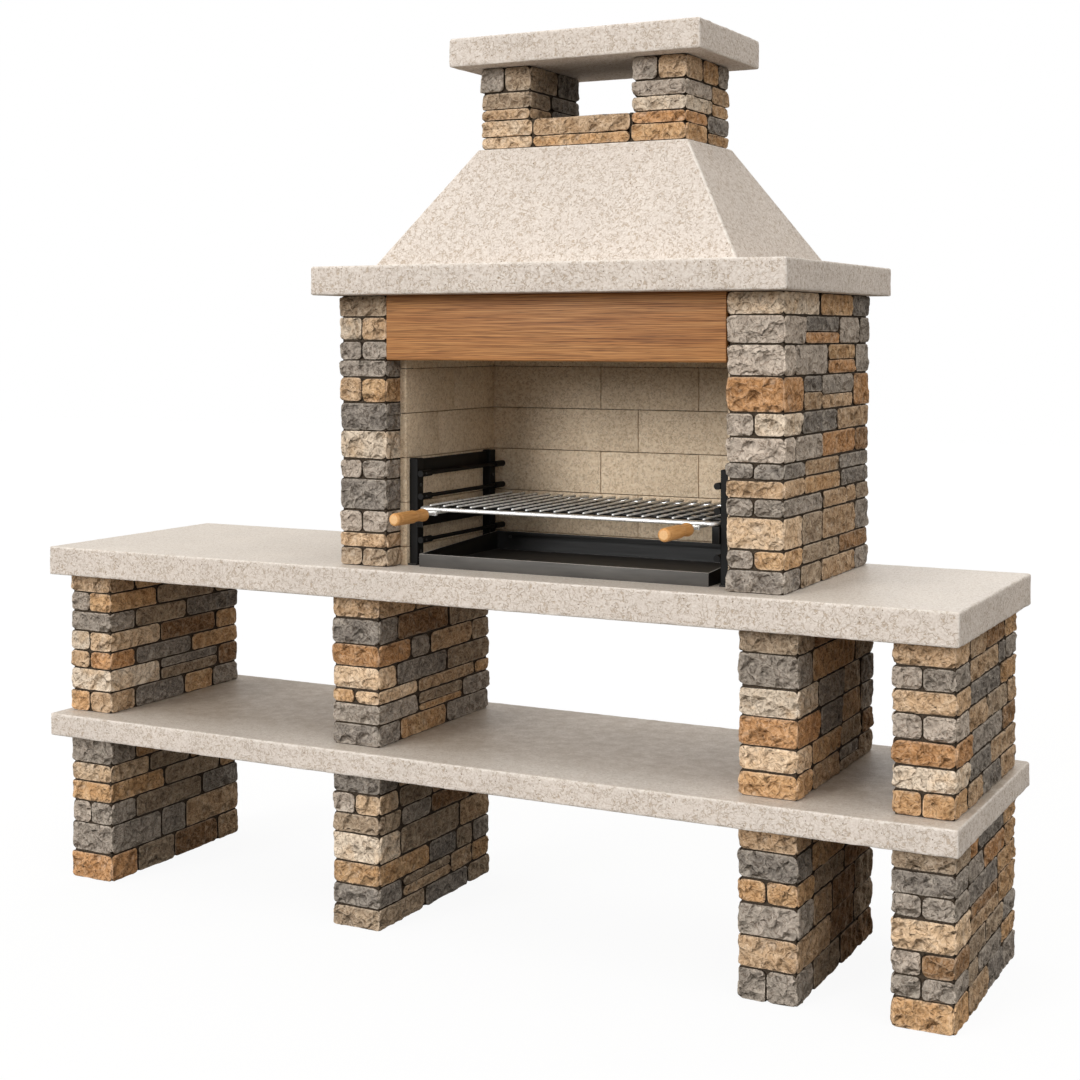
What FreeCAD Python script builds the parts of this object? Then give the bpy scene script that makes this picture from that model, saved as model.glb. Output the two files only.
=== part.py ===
import FreeCAD, Part
import math
import os

from FreeCAD import Vector

# Masonry barbecue: four two-tier stone piers carry a cast shelf and a cast worktop.
# On the worktop stands a stone firebox with a fire-tile lining, a timber front beam,
# a cast mantle and hood, and a stone chimney under a cast cap.
# A charcoal tray slides on the worktop, and a wire grill slides on two steel runners.
# Millimetres.  X runs along the worktop, Y from its front edge to the back, Z up.

# Heights, from the ground up
LOWER_PIER_HEIGHT = 395.0
SHELF_THICKNESS = 60.0
UPPER_PIER_HEIGHT = 375.0
WORKTOP_THICKNESS = 75.0
FIREBOX_HEIGHT = 665.0
MANTLE_THICKNESS = 70.0
HOOD_HEIGHT = 290.0
RING_HEIGHT = 70.0
CHIMNEY_WALL_HEIGHT = 130.0
CAP_THICKNESS = 70.0

# Slabs in plan
TABLE_LENGTH = 2460.0
TABLE_DEPTH = 675.0
SLAB_EDGE_RADIUS = 5.0
MANTLE_SIDE_OVERHANG = 32.0
MANTLE_END_OVERHANG = 80.0
CAP_OVERHANG = 58.0

# Piers
PIER_WIDTH = 140.0
PIER_FRONT_SETBACK = 60.0
PIER_BACK_SETBACK = 60.0
PIER_END_OVERHANG = 20.0
INNER_PIER_OUTSET = 29.0

# Firebox
RIGHT_TABLE = 397.0
FIREBOX_WIDTH = 1160.0
FIREBOX_WALL = 138.0
FIREBOX_FRONT_SETBACK = 52.0
FIREBOX_BACK_SETBACK = 10.0
BACK_WALL = 87.0
LINING_THICKNESS = 18.0
LINING_ROW = 110.0
LINING_BASE_ROW = 46.0
LINING_JOINT = 2.0
BEAM_HEIGHT = 158.0
BEAM_DEPTH = 62.0
BEAM_EDGE = 3.0
DOWEL_DIAMETER = 14.0
DOWEL_BITE = 45.0

# Hood and chimney
THROAT_SIDE_LEDGE = 62.0
THROAT_FRONT_LEDGE = 17.0
THROAT_BACK_LEDGE = 9.0
HOOD_SIDE_INSET = 140.0
HOOD_END_INSET = 71.0
HOOD_WALL = 40.0
HOOD_TOP_MARGIN = 5.0
CHIMNEY_LENGTH = 550.0
CHIMNEY_DEPTH = 270.0
CHIMNEY_WALL = 140.0
SILL_DEPTH = 85.0

# Stonework
JOINT = 8.0
BED = 6.0
JOINT_RECESS = 7.0
FRONT_SPLIT = 0.47

# Steel grill supports
POST_WIDTH = 24.0
POST_DEPTH = 29.0
POST_WALL = 2.5
POST_CORNER = 3.0
FRONT_POST_SETBACK = 13.0
REAR_POST_GAP = 36.0
FOOT_THICKNESS = 4.0
FOOT_MARGIN = 8.0
TOP_PLATE_HEIGHT = 38.0
TOP_PLATE_THICKNESS = 5.0
RUNNER_LEVEL = 135.0
LOWER_RAIL_DROP = 73.0
MIDDLE_RAIL_RISE = 35.0
TOP_RAIL_RISE = 56.0
RAIL_DIAMETER = 10.0
RAIL_END_GAP = 11.0
COLLAR_DIAMETER = 16.0
COLLAR_LENGTH = 48.0
RUNNER_HEIGHT = 40.0
RUNNER_WIDTH = 18.0
RUNNER_SHEET = 3.0
RUNNER_OVERHANG = 6.0
SCREW_DIAMETER = 5.0
SCREW_HEAD_DIAMETER = 9.0
SCREW_HEAD_HEIGHT = 2.5
COLLAR_SCREW_PROUD = 3.0

# Charcoal tray
TRAY_SIDE_GAP = 3.0
TRAY_FRONT_SETBACK = 51.0
TRAY_BACK_GAP = 60.0
TRAY_FRONT_HEIGHT = 31.0
TRAY_BACK_HEIGHT = 50.0
TRAY_SHEET = 2.0
TRAY_HEM = 8.0
RIVET_DIAMETER = 5.0
RIVET_HEAD_DIAMETER = 9.0
RIVET_HEAD_HEIGHT = 2.0
RIVET_END_MARGIN = 40.0
RIVET_DROP = 14.0

# Grill
GRILL_FRONT_SETBACK = 73.0
GRILL_BACK_GAP = 20.0
GRILL_ROD_DIAMETER = 10.0
GRILL_CORNER = 14.0
WIRE_DIAMETER = 7.0
WIRE_PITCH = 38.0
WIRE_EDGE_GAP = 14.0
WIRE_OVERHANG = 2.0
WIRE_END_ROUNDING = 2.5
CROSS_ROD_COUNT = 3
LOOP_ROD_DIAMETER = 6.0
LOOP_SPREAD = 14.0
LOOP_REAR_OVERHANG = 12.0
HANDLE_INSET = 45.0
HANDLE_NECK = 54.0
HANDLE_LENGTH = 140.0
HANDLE_DIAMETER = 31.0
HANDLE_ROUNDING = 7.0
HANDLE_GROOVE_DIAMETER = 28.5
HANDLE_GROOVE_WIDTH = 6.0
HANDLE_GROOVE_SETBACK = 14.0
HANDLE_WAIST_DIAMETER = 26.0
HANDLE_WAIST_LENGTH = 42.0
HANDLE_WAIST_SETBACK = 14.0
HANDLE_BITE = 40.0
CLIP_SHEET = 2.0
CLIP_WIDTH = 6.0
CLIP_GAP = 20.0

# Clearances
SLIDE_CLEARANCE = 0.3
PIN_CLEARANCE = 0.05

# Stone courses, bottom to top: course height, stones side by side at the front, then the
# lengths of the stones from front to back.  All three are shares, scaled to fill each block.
COURSES = {
    "pier_1_lower": (
        (118, 1, (19, 27, 34, 17)),
        (125, 1, (38, 18, 44)),
        (92, 2, (18, 51, 30)),
        (80, 1, (40, 44, 15)),
        (72, 1, (29, 31, 40)),
        (123, 1, (18, 40, 42)),
    ),
    "pier_1_upper": (
        (90, 2, (18, 37, 22, 21)),
        (99, 1, (37, 45, 16)),
        (77, 2, (18, 42, 38)),
        (87, 2, (37, 43, 18)),
        (85, 1, (18, 38, 42)),
        (85, 2, (35, 46, 19)),
        (80, 1, (18, 22, 60)),
    ),
    "pier_2_lower": (
        (92, 1, (40, 39, 21)),
        (86, 1, (20, 43, 20, 17)),
        (92, 1, (44, 25, 15, 16)),
        (120, 1, (18, 53, 29)),
        (78, 1, (19, 26, 37, 18)),
        (83, 2, (17, 29, 36, 18)),
        (93, 1, (16, 44, 40)),
    ),
    "pier_2_upper": (
        (87, 1, (18, 41, 41)),
        (82, 1, (34, 40, 26)),
        (53, 2, (34, 52, 14)),
        (95, 1, (15, 44, 41)),
        (93, 1, (28, 16, 39, 17)),
        (110, 1, (16, 45, 39)),
        (93, 1, (32, 36, 32)),
    ),
    "pier_3_lower": (
        (130, 2, (21, 34, 24, 21)),
        (123, 1, (43, 31, 26)),
        (123, 1, (20, 24, 30, 26)),
        (85, 2, (20, 40, 40)),
        (107, 1, (18, 44, 38)),
        (95, 1, (19, 45, 36)),
    ),
    "pier_3_upper": (
        (88, 1, (19, 34, 27, 20)),
        (90, 1, (18, 38, 28, 16)),
        (112, 1, (29, 28, 25, 18)),
        (108, 1, (26, 34, 22, 18)),
        (128, 1, (18, 56, 26)),
        (90, 1, (19, 43, 38)),
    ),
    "pier_4_lower": (
        (113, 1, (22, 31, 26, 21)),
        (73, 2, (20, 16, 39, 25)),
        (80, 2, (21, 28, 29, 22)),
        (110, 1, (24, 46, 30)),
        (76, 2, (20, 48, 32)),
        (77, 1, (20, 24, 36, 20)),
        (80, 1, (22, 13, 42, 23)),
    ),
    "pier_4_upper": (
        (84, 2, (18, 23, 30, 27)),
        (85, 1, (21, 34, 45)),
        (87, 1, (25, 51, 24)),
        (90, 2, (20, 29, 36, 15)),
        (80, 1, (22, 49, 29)),
        (80, 2, (22, 47, 12, 19)),
        (85, 1, (22, 24, 33, 21)),
    ),
    "firebox_left": (
        (85, 2, (20, 43, 37)),
        (70, 1, (18, 23, 41, 18)),
        (113, 2, (24, 30, 46)),
        (166, 1, (20, 22, 41, 17)),
        (95, 2, (36, 28, 36)),
        (150, 1, (23, 42, 35)),
        (147, 1, (18, 32, 33, 17)),
        (128, 2, (27, 40, 33)),
        (83, 1, (20, 45, 35)),
        (94, 2, (30, 28, 42)),
        (120, 2, (22, 40, 26, 12)),
        (103, 1, (38, 40, 22)),
    ),
    "firebox_right": (
        (105, 1, (18, 23, 41, 18)),
        (90, 2, (20, 43, 37)),
        (160, 1, (20, 22, 41, 17)),
        (85, 2, (44, 28, 12, 16)),
        (83, 1, (23, 42, 35)),
        (72, 2, (23, 40, 37)),
        (125, 1, (12, 30, 41, 17)),
        (112, 2, (20, 40, 40)),
        (182, 1, (22, 20, 38, 20)),
        (157, 1, (12, 37, 34, 17)),
        (142, 1, (23, 40, 25, 12)),
        (107, 1, (40, 39, 21)),
    ),
    "firebox_back": (
        (95, 1, (20, 26, 17, 22, 15)),
        (80, 1, (14, 22, 25, 18, 21)),
        (130, 1, (24, 16, 20, 27, 13)),
        (100, 1, (17, 25, 14, 20, 24)),
        (90, 1, (22, 18, 26, 15, 19)),
        (140, 1, (15, 24, 19, 25, 17)),
        (85, 1, (26, 15, 23, 17, 19)),
        (120, 1, (18, 21, 16, 28, 17)),
        (95, 1, (23, 27, 18, 14, 18)),
        (110, 1, (16, 19, 25, 22, 18)),
        (90, 1, (21, 14, 22, 18, 25)),
        (105, 1, (19, 25, 18, 23, 15)),
    ),
    "chimney_left": (
        (64, 1, (42, 58)),
        (56, 2, (55, 45)),
    ),
    "chimney_right": (
        (75, 1, (60, 40)),
        (55, 2, (40, 35, 25)),
    ),
}

# Lining rows, bottom to top, take these tile lengths in turn, as shares from front to back
# on the sides and from left to right on the back
SIDE_TILES = ((53, 47), (35, 65))
BACK_TILES = ((38, 31, 31), (50, 50))

# Levels
SHELF_BASE = LOWER_PIER_HEIGHT
SHELF_TOP = SHELF_BASE + SHELF_THICKNESS
WORKTOP_BASE = SHELF_TOP + UPPER_PIER_HEIGHT
WORKTOP_TOP = WORKTOP_BASE + WORKTOP_THICKNESS
MANTLE_BASE = WORKTOP_TOP + FIREBOX_HEIGHT
MANTLE_TOP = MANTLE_BASE + MANTLE_THICKNESS
RING_BASE = MANTLE_TOP + HOOD_HEIGHT
CHIMNEY_BASE = RING_BASE + RING_HEIGHT
CAP_BASE = CHIMNEY_BASE + CHIMNEY_WALL_HEIGHT
CAP_TOP = CAP_BASE + CAP_THICKNESS

# Firebox planes
FIREBOX_CENTRE_X = TABLE_LENGTH / 2 - RIGHT_TABLE - FIREBOX_WIDTH / 2
FIREBOX_LEFT = FIREBOX_CENTRE_X - FIREBOX_WIDTH / 2
FIREBOX_RIGHT = FIREBOX_CENTRE_X + FIREBOX_WIDTH / 2
FIREBOX_BACK = TABLE_DEPTH - FIREBOX_BACK_SETBACK
WALL_REACH = FIREBOX_WIDTH / 2 - FIREBOX_WALL
LINING_REACH = WALL_REACH - LINING_THICKNESS
BACK_WALL_FACE = FIREBOX_BACK - BACK_WALL
BACK_LINING_FACE = BACK_WALL_FACE - LINING_THICKNESS
BEAM_BACK = FIREBOX_FRONT_SETBACK + BEAM_DEPTH
BEAM_BASE = MANTLE_BASE - BEAM_HEIGHT
CHIMNEY_CENTRE_Y = (FIREBOX_FRONT_SETBACK + FIREBOX_BACK) / 2

# Support planes, as distances from the firebox centre line, depths and heights
POST_REACH = LINING_REACH - POST_WIDTH
FRONT_POST_Y = BEAM_BACK + FRONT_POST_SETBACK
REAR_POST_Y = BACK_LINING_FACE - REAR_POST_GAP - POST_DEPTH
RAIL_REACH = POST_REACH - COLLAR_DIAMETER / 2
RAIL_BACK = BACK_LINING_FACE - RAIL_END_GAP
RUNNER_TOP = WORKTOP_TOP + RUNNER_LEVEL
LOWER_RAIL = RUNNER_TOP - LOWER_RAIL_DROP
MIDDLE_RAIL = RUNNER_TOP + MIDDLE_RAIL_RISE
TOP_RAIL = MIDDLE_RAIL + TOP_RAIL_RISE
POST_BASE = WORKTOP_TOP + FOOT_THICKNESS
POST_TOP = TOP_RAIL + TOP_PLATE_HEIGHT
POST_SCREWS = ((POST_BASE + LOWER_RAIL) / 2, (MIDDLE_RAIL + TOP_RAIL) / 2)

# Grill planes
GRILL_ROD = GRILL_ROD_DIAMETER / 2
GRILL_REACH = POST_REACH - RUNNER_WIDTH / 2
GRILL_FRONT = FIREBOX_FRONT_SETBACK + GRILL_FRONT_SETBACK
GRILL_BACK = BACK_LINING_FACE - GRILL_BACK_GAP
GRILL_Z = RUNNER_TOP + SLIDE_CLEARANCE + GRILL_ROD
WIRE_Z = GRILL_Z + GRILL_ROD + PIN_CLEARANCE + WIRE_DIAMETER / 2
LOOP_Z = GRILL_Z - GRILL_ROD - LOOP_ROD_DIAMETER / 2
CROSS_ROD_STEP = (GRILL_BACK - GRILL_FRONT) / (CROSS_ROD_COUNT + 1)
HANDLE_BACK = GRILL_FRONT - HANDLE_NECK
HANDLE_TIP = HANDLE_BACK - HANDLE_LENGTH
HANDLE_REACH = GRILL_REACH - HANDLE_INSET

# The mantle's outline, and the part's origin under the middle of its overall box
MANTLE_LEFT = FIREBOX_LEFT - MANTLE_SIDE_OVERHANG
MANTLE_RIGHT = FIREBOX_RIGHT + MANTLE_SIDE_OVERHANG
MANTLE_FRONT = FIREBOX_FRONT_SETBACK - MANTLE_END_OVERHANG
MANTLE_BACK = FIREBOX_BACK + MANTLE_END_OVERHANG
FRONT_END = min(HANDLE_TIP, MANTLE_FRONT, 0)
BACK_END = max(MANTLE_BACK, TABLE_DEPTH)
ORIGIN_Y = (FRONT_END + BACK_END) / 2

ALONG_X = Vector(1, 0, 0)
ALONG_Y = Vector(0, 1, 0)
SIDES = {"left": -1, "right": 1}


def box(x0, x1, y0, y1, z0, z1):
    """Box between two corners, given in either order along X."""
    low, high = min(x0, x1), max(x0, x1)
    return Part.makeBox(high - low, y1 - y0, z1 - z0, Vector(low, y0, z0))


def side_box(side, near, far, y0, y1, z0, z1):
    """Box on one side of the firebox, placed by its distances from the centre line."""
    return box(FIREBOX_CENTRE_X + side * near, FIREBOX_CENTRE_X + side * far, y0, y1, z0, z1)


def rod_x(diameter, x0, x1, y, z):
    low, high = min(x0, x1), max(x0, x1)
    return Part.makeCylinder(diameter / 2, high - low, Vector(low, y, z), ALONG_X)


def rod_y(diameter, x, y0, y1, z):
    return Part.makeCylinder(diameter / 2, y1 - y0, Vector(x, y0, z), ALONG_Y)


def slab(x0, x1, y0, y1, z0, z1):
    """Cast slab with all its edges softened."""
    block = box(x0, x1, y0, y1, z0, z1)
    return block.makeFillet(SLAB_EDGE_RADIUS, block.Edges)


def drilled(solids, tool):
    """The same solids, with the tool cut out of those that it meets."""
    result = []
    for solid in solids:
        meets = solid.BoundBox.intersect(tool.BoundBox)
        result.append(solid.cut(tool) if meets else solid)
    return result


def sweep(path_edges, diameter, start, direction):
    """Round bar along a path of lines and arcs."""
    section = Part.Wire(Part.makeCircle(diameter / 2, start, direction))
    return Part.Wire(path_edges).makePipeShell([section], True, False)


def export(name, shape):
    """Write one named piece, or a list of like pieces, about the part's origin."""
    piece = Part.makeCompound(shape) if isinstance(shape, list) else shape.copy()
    piece.translate(Vector(0, -ORIGIN_Y, 0))
    piece.exportStep(os.path.join("parts", name + ".step"))


# Stonework
def spread(total, shares, joint=JOINT):
    """Start and length of each piece of a row, with a joint between neighbours."""
    unit = (total - joint * (len(shares) - 1)) / sum(shares)
    start = 0.0
    for share in shares:
        yield start, share * unit
        start += share * unit + joint


def masonry(courses, x0, x1, y0, y1, z0, z1, along="Y", bed_below=True):
    """Coursed stones that fill a block, and the recessed mortar between them."""
    def stone(across, run, base, height):
        if along == "Y":
            return box(x0 + across[0], x0 + across[1], y0 + run[0], y0 + run[1], base, base + height)
        return box(x0 + run[0], x0 + run[1], y0 + across[0], y0 + across[1], base, base + height)

    thickness, length = (x1 - x0, y1 - y0) if along == "Y" else (y1 - y0, x1 - x0)
    stone_base = z0 + (BED if bed_below else 0)
    heights = [course[0] for course in courses]
    stones = []
    for course, (rise, height) in zip(courses, spread(z1 - BED - stone_base, heights)):
        for place, (start, size) in enumerate(spread(length, course[2])):
            pair = place == 0 and course[1] == 2
            shares = (FRONT_SPLIT, 1 - FRONT_SPLIT) if pair else (1,)
            run = (start, start + size)
            for offset, width in spread(thickness, shares):
                stones.append(stone((offset, offset + width), run, stone_base + rise, height))
    mortar_base = z0 if bed_below else z0 + JOINT
    core = box(x0 + JOINT_RECESS, x1 - JOINT_RECESS, y0 + JOINT_RECESS, y1 - JOINT_RECESS, mortar_base, z1)
    return stones, core.cut(stones)


def export_masonry(name, stones, mortar):
    export(name + "_stones", stones)
    export(name + "_mortar", mortar)


def build_piers():
    left_end = -TABLE_LENGTH / 2 + PIER_END_OVERHANG
    right_end = TABLE_LENGTH / 2 - PIER_END_OVERHANG
    inner_reach = (FIREBOX_WIDTH - FIREBOX_WALL) / 2 + INNER_PIER_OUTSET
    inner_left = FIREBOX_CENTRE_X - inner_reach - PIER_WIDTH / 2
    inner_right = FIREBOX_CENTRE_X + inner_reach - PIER_WIDTH / 2
    front, back = PIER_FRONT_SETBACK, TABLE_DEPTH - PIER_BACK_SETBACK
    tiers = {"lower": (0, SHELF_BASE), "upper": (SHELF_TOP, WORKTOP_BASE)}
    for number, left in enumerate((left_end, inner_left, inner_right, right_end - PIER_WIDTH), 1):
        for tier, (base, top) in tiers.items():
            name = f"pier_{number}_{tier}"
            right = left + PIER_WIDTH
            pieces = masonry(COURSES[name], left, right, front, back, base, top, bed_below=tier == "upper")
            export_masonry(name, *pieces)


def build_firebox():
    front, back = FIREBOX_FRONT_SETBACK, FIREBOX_BACK
    inner_left = FIREBOX_LEFT + FIREBOX_WALL
    inner_right = FIREBOX_RIGHT - FIREBOX_WALL
    walls = {
        "firebox_left": (FIREBOX_LEFT, inner_left),
        "firebox_right": (inner_right, FIREBOX_RIGHT),
    }
    beam = box(inner_left, inner_right, front, BEAM_BACK, BEAM_BASE, MANTLE_BASE)
    beam = beam.makeChamfer(BEAM_EDGE, [edge for edge in beam.Edges if is_along_x(edge)])
    beam_middle_y = (front + BEAM_BACK) / 2
    beam_middle_z = (BEAM_BASE + MANTLE_BASE) / 2
    dowels = []
    for name, (x0, x1) in walls.items():
        stones, mortar = masonry(COURSES[name], x0, x1, front, back, WORKTOP_TOP, MANTLE_BASE)
        inner_face = inner_left if name == "firebox_left" else inner_right
        dowel_z = nearest_course(stones, beam_middle_z)
        reach = (inner_face - DOWEL_BITE, inner_face + DOWEL_BITE)
        hole = rod_x(DOWEL_DIAMETER + 2 * PIN_CLEARANCE, *reach, beam_middle_y, dowel_z)
        dowels.append(rod_x(DOWEL_DIAMETER, *reach, beam_middle_y, dowel_z))
        beam = beam.cut(hole)
        export_masonry(name, drilled(stones, hole), mortar)
    export("timber_beam", beam)
    export("beam_dowels", dowels)
    pieces = masonry(COURSES["firebox_back"], inner_left, inner_right, BACK_WALL_FACE, back,
                     WORKTOP_TOP, MANTLE_BASE, along="X")
    export_masonry("firebox_back", *pieces)


def is_along_x(edge):
    first, last = edge.Vertexes[0].Point, edge.Vertexes[-1].Point
    return math.isclose(first.y, last.y) and math.isclose(first.z, last.z)


def nearest_course(stones, level):
    """Middle height of the course that lies closest to a level."""
    middles = [stone.BoundBox.Center.z for stone in stones]
    return min(middles, key=lambda middle: abs(middle - level))


# Fire-tile lining
def lining_rows():
    """Base and top of each row: a cut base row, whole rows, and a cut row under the mantle."""
    base, top = WORKTOP_TOP, WORKTOP_TOP + LINING_BASE_ROW
    while base < MANTLE_BASE - LINING_JOINT:
        yield base, min(top, MANTLE_BASE) - LINING_JOINT
        base, top = top, top + LINING_ROW


def build_lining(screw_holes):
    run = BACK_LINING_FACE - BEAM_BACK
    for name, side in SIDES.items():
        tiles = []
        for row, (base, top) in enumerate(lining_rows()):
            for start, size in spread(run, SIDE_TILES[row % len(SIDE_TILES)], LINING_JOINT):
                y0 = BEAM_BACK + start
                tiles.append(side_box(side, LINING_REACH, WALL_REACH, y0, y0 + size, base, top))
        for hole in screw_holes[name]:
            tiles = drilled(tiles, hole)
        export("lining_" + name, tiles)
    tiles = []
    for row, (base, top) in enumerate(lining_rows()):
        for start, size in spread(2 * WALL_REACH, BACK_TILES[row % len(BACK_TILES)], LINING_JOINT):
            x0 = FIREBOX_CENTRE_X - WALL_REACH + start
            tiles.append(box(x0, x0 + size, BACK_LINING_FACE, BACK_WALL_FACE, base, top))
    export("lining_back", tiles)


# Cast slabs, hood and chimney
def frustum(base_size, top_size, base_z, top_z):
    """Four-sided solid with flat sloping faces, centred on the chimney."""
    rings = []
    for (length, depth), level in ((base_size, base_z), (top_size, top_z)):
        corners = ((-1, -1), (1, -1), (1, 1), (-1, 1))
        rings.append([Vector(FIREBOX_CENTRE_X + sx * length / 2, CHIMNEY_CENTRE_Y + sy * depth / 2, level)
                      for sx, sy in corners])
    low, high = rings
    loops = [low, high]
    loops += [[low[i], low[(i + 1) % 4], high[(i + 1) % 4], high[i]] for i in range(4)]
    faces = [Part.Face(Part.makePolygon(loop + loop[:1])) for loop in loops]
    return Part.Solid(Part.Shell(faces))


def build_slabs():
    half = TABLE_LENGTH / 2
    export("shelf_slab", slab(-half, half, 0, TABLE_DEPTH, SHELF_BASE, SHELF_TOP))
    export("worktop_slab", slab(-half, half, 0, TABLE_DEPTH, WORKTOP_BASE, WORKTOP_TOP))
    mantle = slab(MANTLE_LEFT, MANTLE_RIGHT, MANTLE_FRONT, MANTLE_BACK, MANTLE_BASE, MANTLE_TOP)
    throat_reach = WALL_REACH - THROAT_SIDE_LEDGE
    throat_front = BEAM_BACK + THROAT_FRONT_LEDGE
    throat_back = BACK_LINING_FACE - THROAT_BACK_LEDGE
    throat = box(FIREBOX_CENTRE_X - throat_reach, FIREBOX_CENTRE_X + throat_reach,
                 throat_front, throat_back, MANTLE_BASE, MANTLE_TOP)
    export("mantle_slab", mantle.cut(throat))


def build_hood():
    base = (MANTLE_RIGHT - MANTLE_LEFT - 2 * HOOD_SIDE_INSET, MANTLE_BACK - MANTLE_FRONT - 2 * HOOD_END_INSET)
    top = (CHIMNEY_LENGTH + 2 * HOOD_TOP_MARGIN, CHIMNEY_DEPTH + 2 * HOOD_TOP_MARGIN)
    flue = (CHIMNEY_LENGTH - 2 * CHIMNEY_WALL, CHIMNEY_DEPTH - 2 * SILL_DEPTH)
    inner_base = tuple(size - 2 * HOOD_WALL for size in base)
    outer = frustum(base, top, MANTLE_TOP, RING_BASE)
    export("hood", outer.cut(frustum(inner_base, flue, MANTLE_TOP, RING_BASE)))


def build_chimney():
    left, right = FIREBOX_CENTRE_X - CHIMNEY_LENGTH / 2, FIREBOX_CENTRE_X + CHIMNEY_LENGTH / 2
    front, back = CHIMNEY_CENTRE_Y - CHIMNEY_DEPTH / 2, CHIMNEY_CENTRE_Y + CHIMNEY_DEPTH / 2
    left_inner, right_inner = left + CHIMNEY_WALL, right - CHIMNEY_WALL
    walls = {"chimney_left": (left, left_inner), "chimney_right": (right_inner, right)}

    base, top = RING_BASE + BED, CHIMNEY_BASE
    sill = (left_inner + JOINT, right_inner - JOINT)
    stones = [
        box(*sill, front, front + SILL_DEPTH, base, top),
        box(*sill, back - SILL_DEPTH, back, base, top),
    ]
    for x0, x1 in walls.values():
        for start, size in spread(back - front, (1, 1)):
            stones.append(box(x0, x1, front + start, front + start + size, base, top))
    core = box(left + JOINT_RECESS, right - JOINT_RECESS, front + JOINT_RECESS, back - JOINT_RECESS,
               RING_BASE, CHIMNEY_BASE)
    flue_recess = JOINT_RECESS + JOINT
    flue = box(left_inner - JOINT_RECESS, right_inner + JOINT_RECESS, front + SILL_DEPTH - flue_recess,
               back - SILL_DEPTH + flue_recess, RING_BASE, CHIMNEY_BASE)
    export_masonry("chimney_ring", stones, core.cut([flue] + stones))

    for name, (x0, x1) in walls.items():
        export_masonry(name, *masonry(COURSES[name], x0, x1, front, back, CHIMNEY_BASE, CAP_BASE))
    cap = slab(left - CAP_OVERHANG, right + CAP_OVERHANG, front - CAP_OVERHANG, back + CAP_OVERHANG,
               CAP_BASE, CAP_TOP)
    export("chimney_cap", cap)


# Steel grill supports
def build_post(side, y0):
    """Closed-top square tube on a foot plate, with its two fixing screws and their holes."""
    y1 = y0 + POST_DEPTH
    post = side_box(side, POST_REACH, LINING_REACH, y0, y1, POST_BASE, POST_TOP)
    upper_edges = [edge for edge in post.Edges if edge.BoundBox.ZMax > POST_BASE + POST_CORNER]
    post = post.makeFillet(POST_CORNER, upper_edges)
    bore = side_box(side, POST_REACH + POST_WALL, LINING_REACH - POST_WALL, y0 + POST_WALL, y1 - POST_WALL,
                    POST_BASE, POST_TOP - POST_WALL)
    foot = side_box(side, POST_REACH, LINING_REACH, y0 - FOOT_MARGIN, y1 + FOOT_MARGIN,
                    WORKTOP_TOP, POST_BASE)
    post = post.cut(bore)
    screws, holes = [], []
    for level in POST_SCREWS:
        middle = (y0 + y1) / 2
        face = FIREBOX_CENTRE_X + side * POST_REACH
        anchor = FIREBOX_CENTRE_X + side * WALL_REACH
        head = rod_x(SCREW_HEAD_DIAMETER, face - side * SCREW_HEAD_HEIGHT, face, middle, level)
        screws.append(head.fuse(rod_x(SCREW_DIAMETER, face, anchor, middle, level)))
        holes.append(rod_x(SCREW_DIAMETER + 2 * PIN_CLEARANCE, face, anchor, middle, level))
    return post.cut(holes), foot, screws, holes


def build_rails(side):
    """Support rods at each level, the collars that hold them to the posts, and their set screws."""
    x = FIREBOX_CENTRE_X + side * RAIL_REACH
    front, back = FRONT_POST_Y, RAIL_BACK
    bore_diameter = RAIL_DIAMETER + 2 * PIN_CLEARANCE
    rods, collars, screws = [], [], []
    for z in (LOWER_RAIL, MIDDLE_RAIL, TOP_RAIL):
        rods.append(rod_y(RAIL_DIAMETER, x, front, back, z))
        bore = rod_y(bore_diameter, x, front, back, z)
        front_collar = rod_y(COLLAR_DIAMETER, x, front, front + COLLAR_LENGTH, z).cut(bore)
        collars.append(rod_y(COLLAR_DIAMETER, x, back - COLLAR_LENGTH, back, z).cut(bore))
        seat = x - side * RAIL_DIAMETER / 2
        tip = x - side * (COLLAR_DIAMETER / 2 + COLLAR_SCREW_PROUD)
        screw_y = front + POST_DEPTH / 2
        hole = rod_x(SCREW_DIAMETER + 2 * PIN_CLEARANCE, seat + side * PIN_CLEARANCE, tip, screw_y, z)
        collars.append(front_collar.cut(hole))
        bar = rod_x(SCREW_DIAMETER, seat, tip, screw_y, z)
        screws.append(bar.cut(bore))
    return rods, collars, screws


def build_runner(side):
    """Folded angle that the grill slides on, closed at its front end."""
    front = FRONT_POST_Y - RUNNER_OVERHANG
    back = REAR_POST_Y + POST_DEPTH + RUNNER_OVERHANG
    near = POST_REACH - RUNNER_WIDTH
    base = RUNNER_TOP - RUNNER_HEIGHT
    leg = side_box(side, POST_REACH - RUNNER_SHEET, POST_REACH, front, back, base, RUNNER_TOP)
    ledge = side_box(side, near, POST_REACH, front, back, RUNNER_TOP - RUNNER_SHEET, RUNNER_TOP)
    end = side_box(side, near, POST_REACH, front, front + RUNNER_SHEET, base, RUNNER_TOP)
    return leg.fuse([ledge, end]).removeSplitter()


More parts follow.
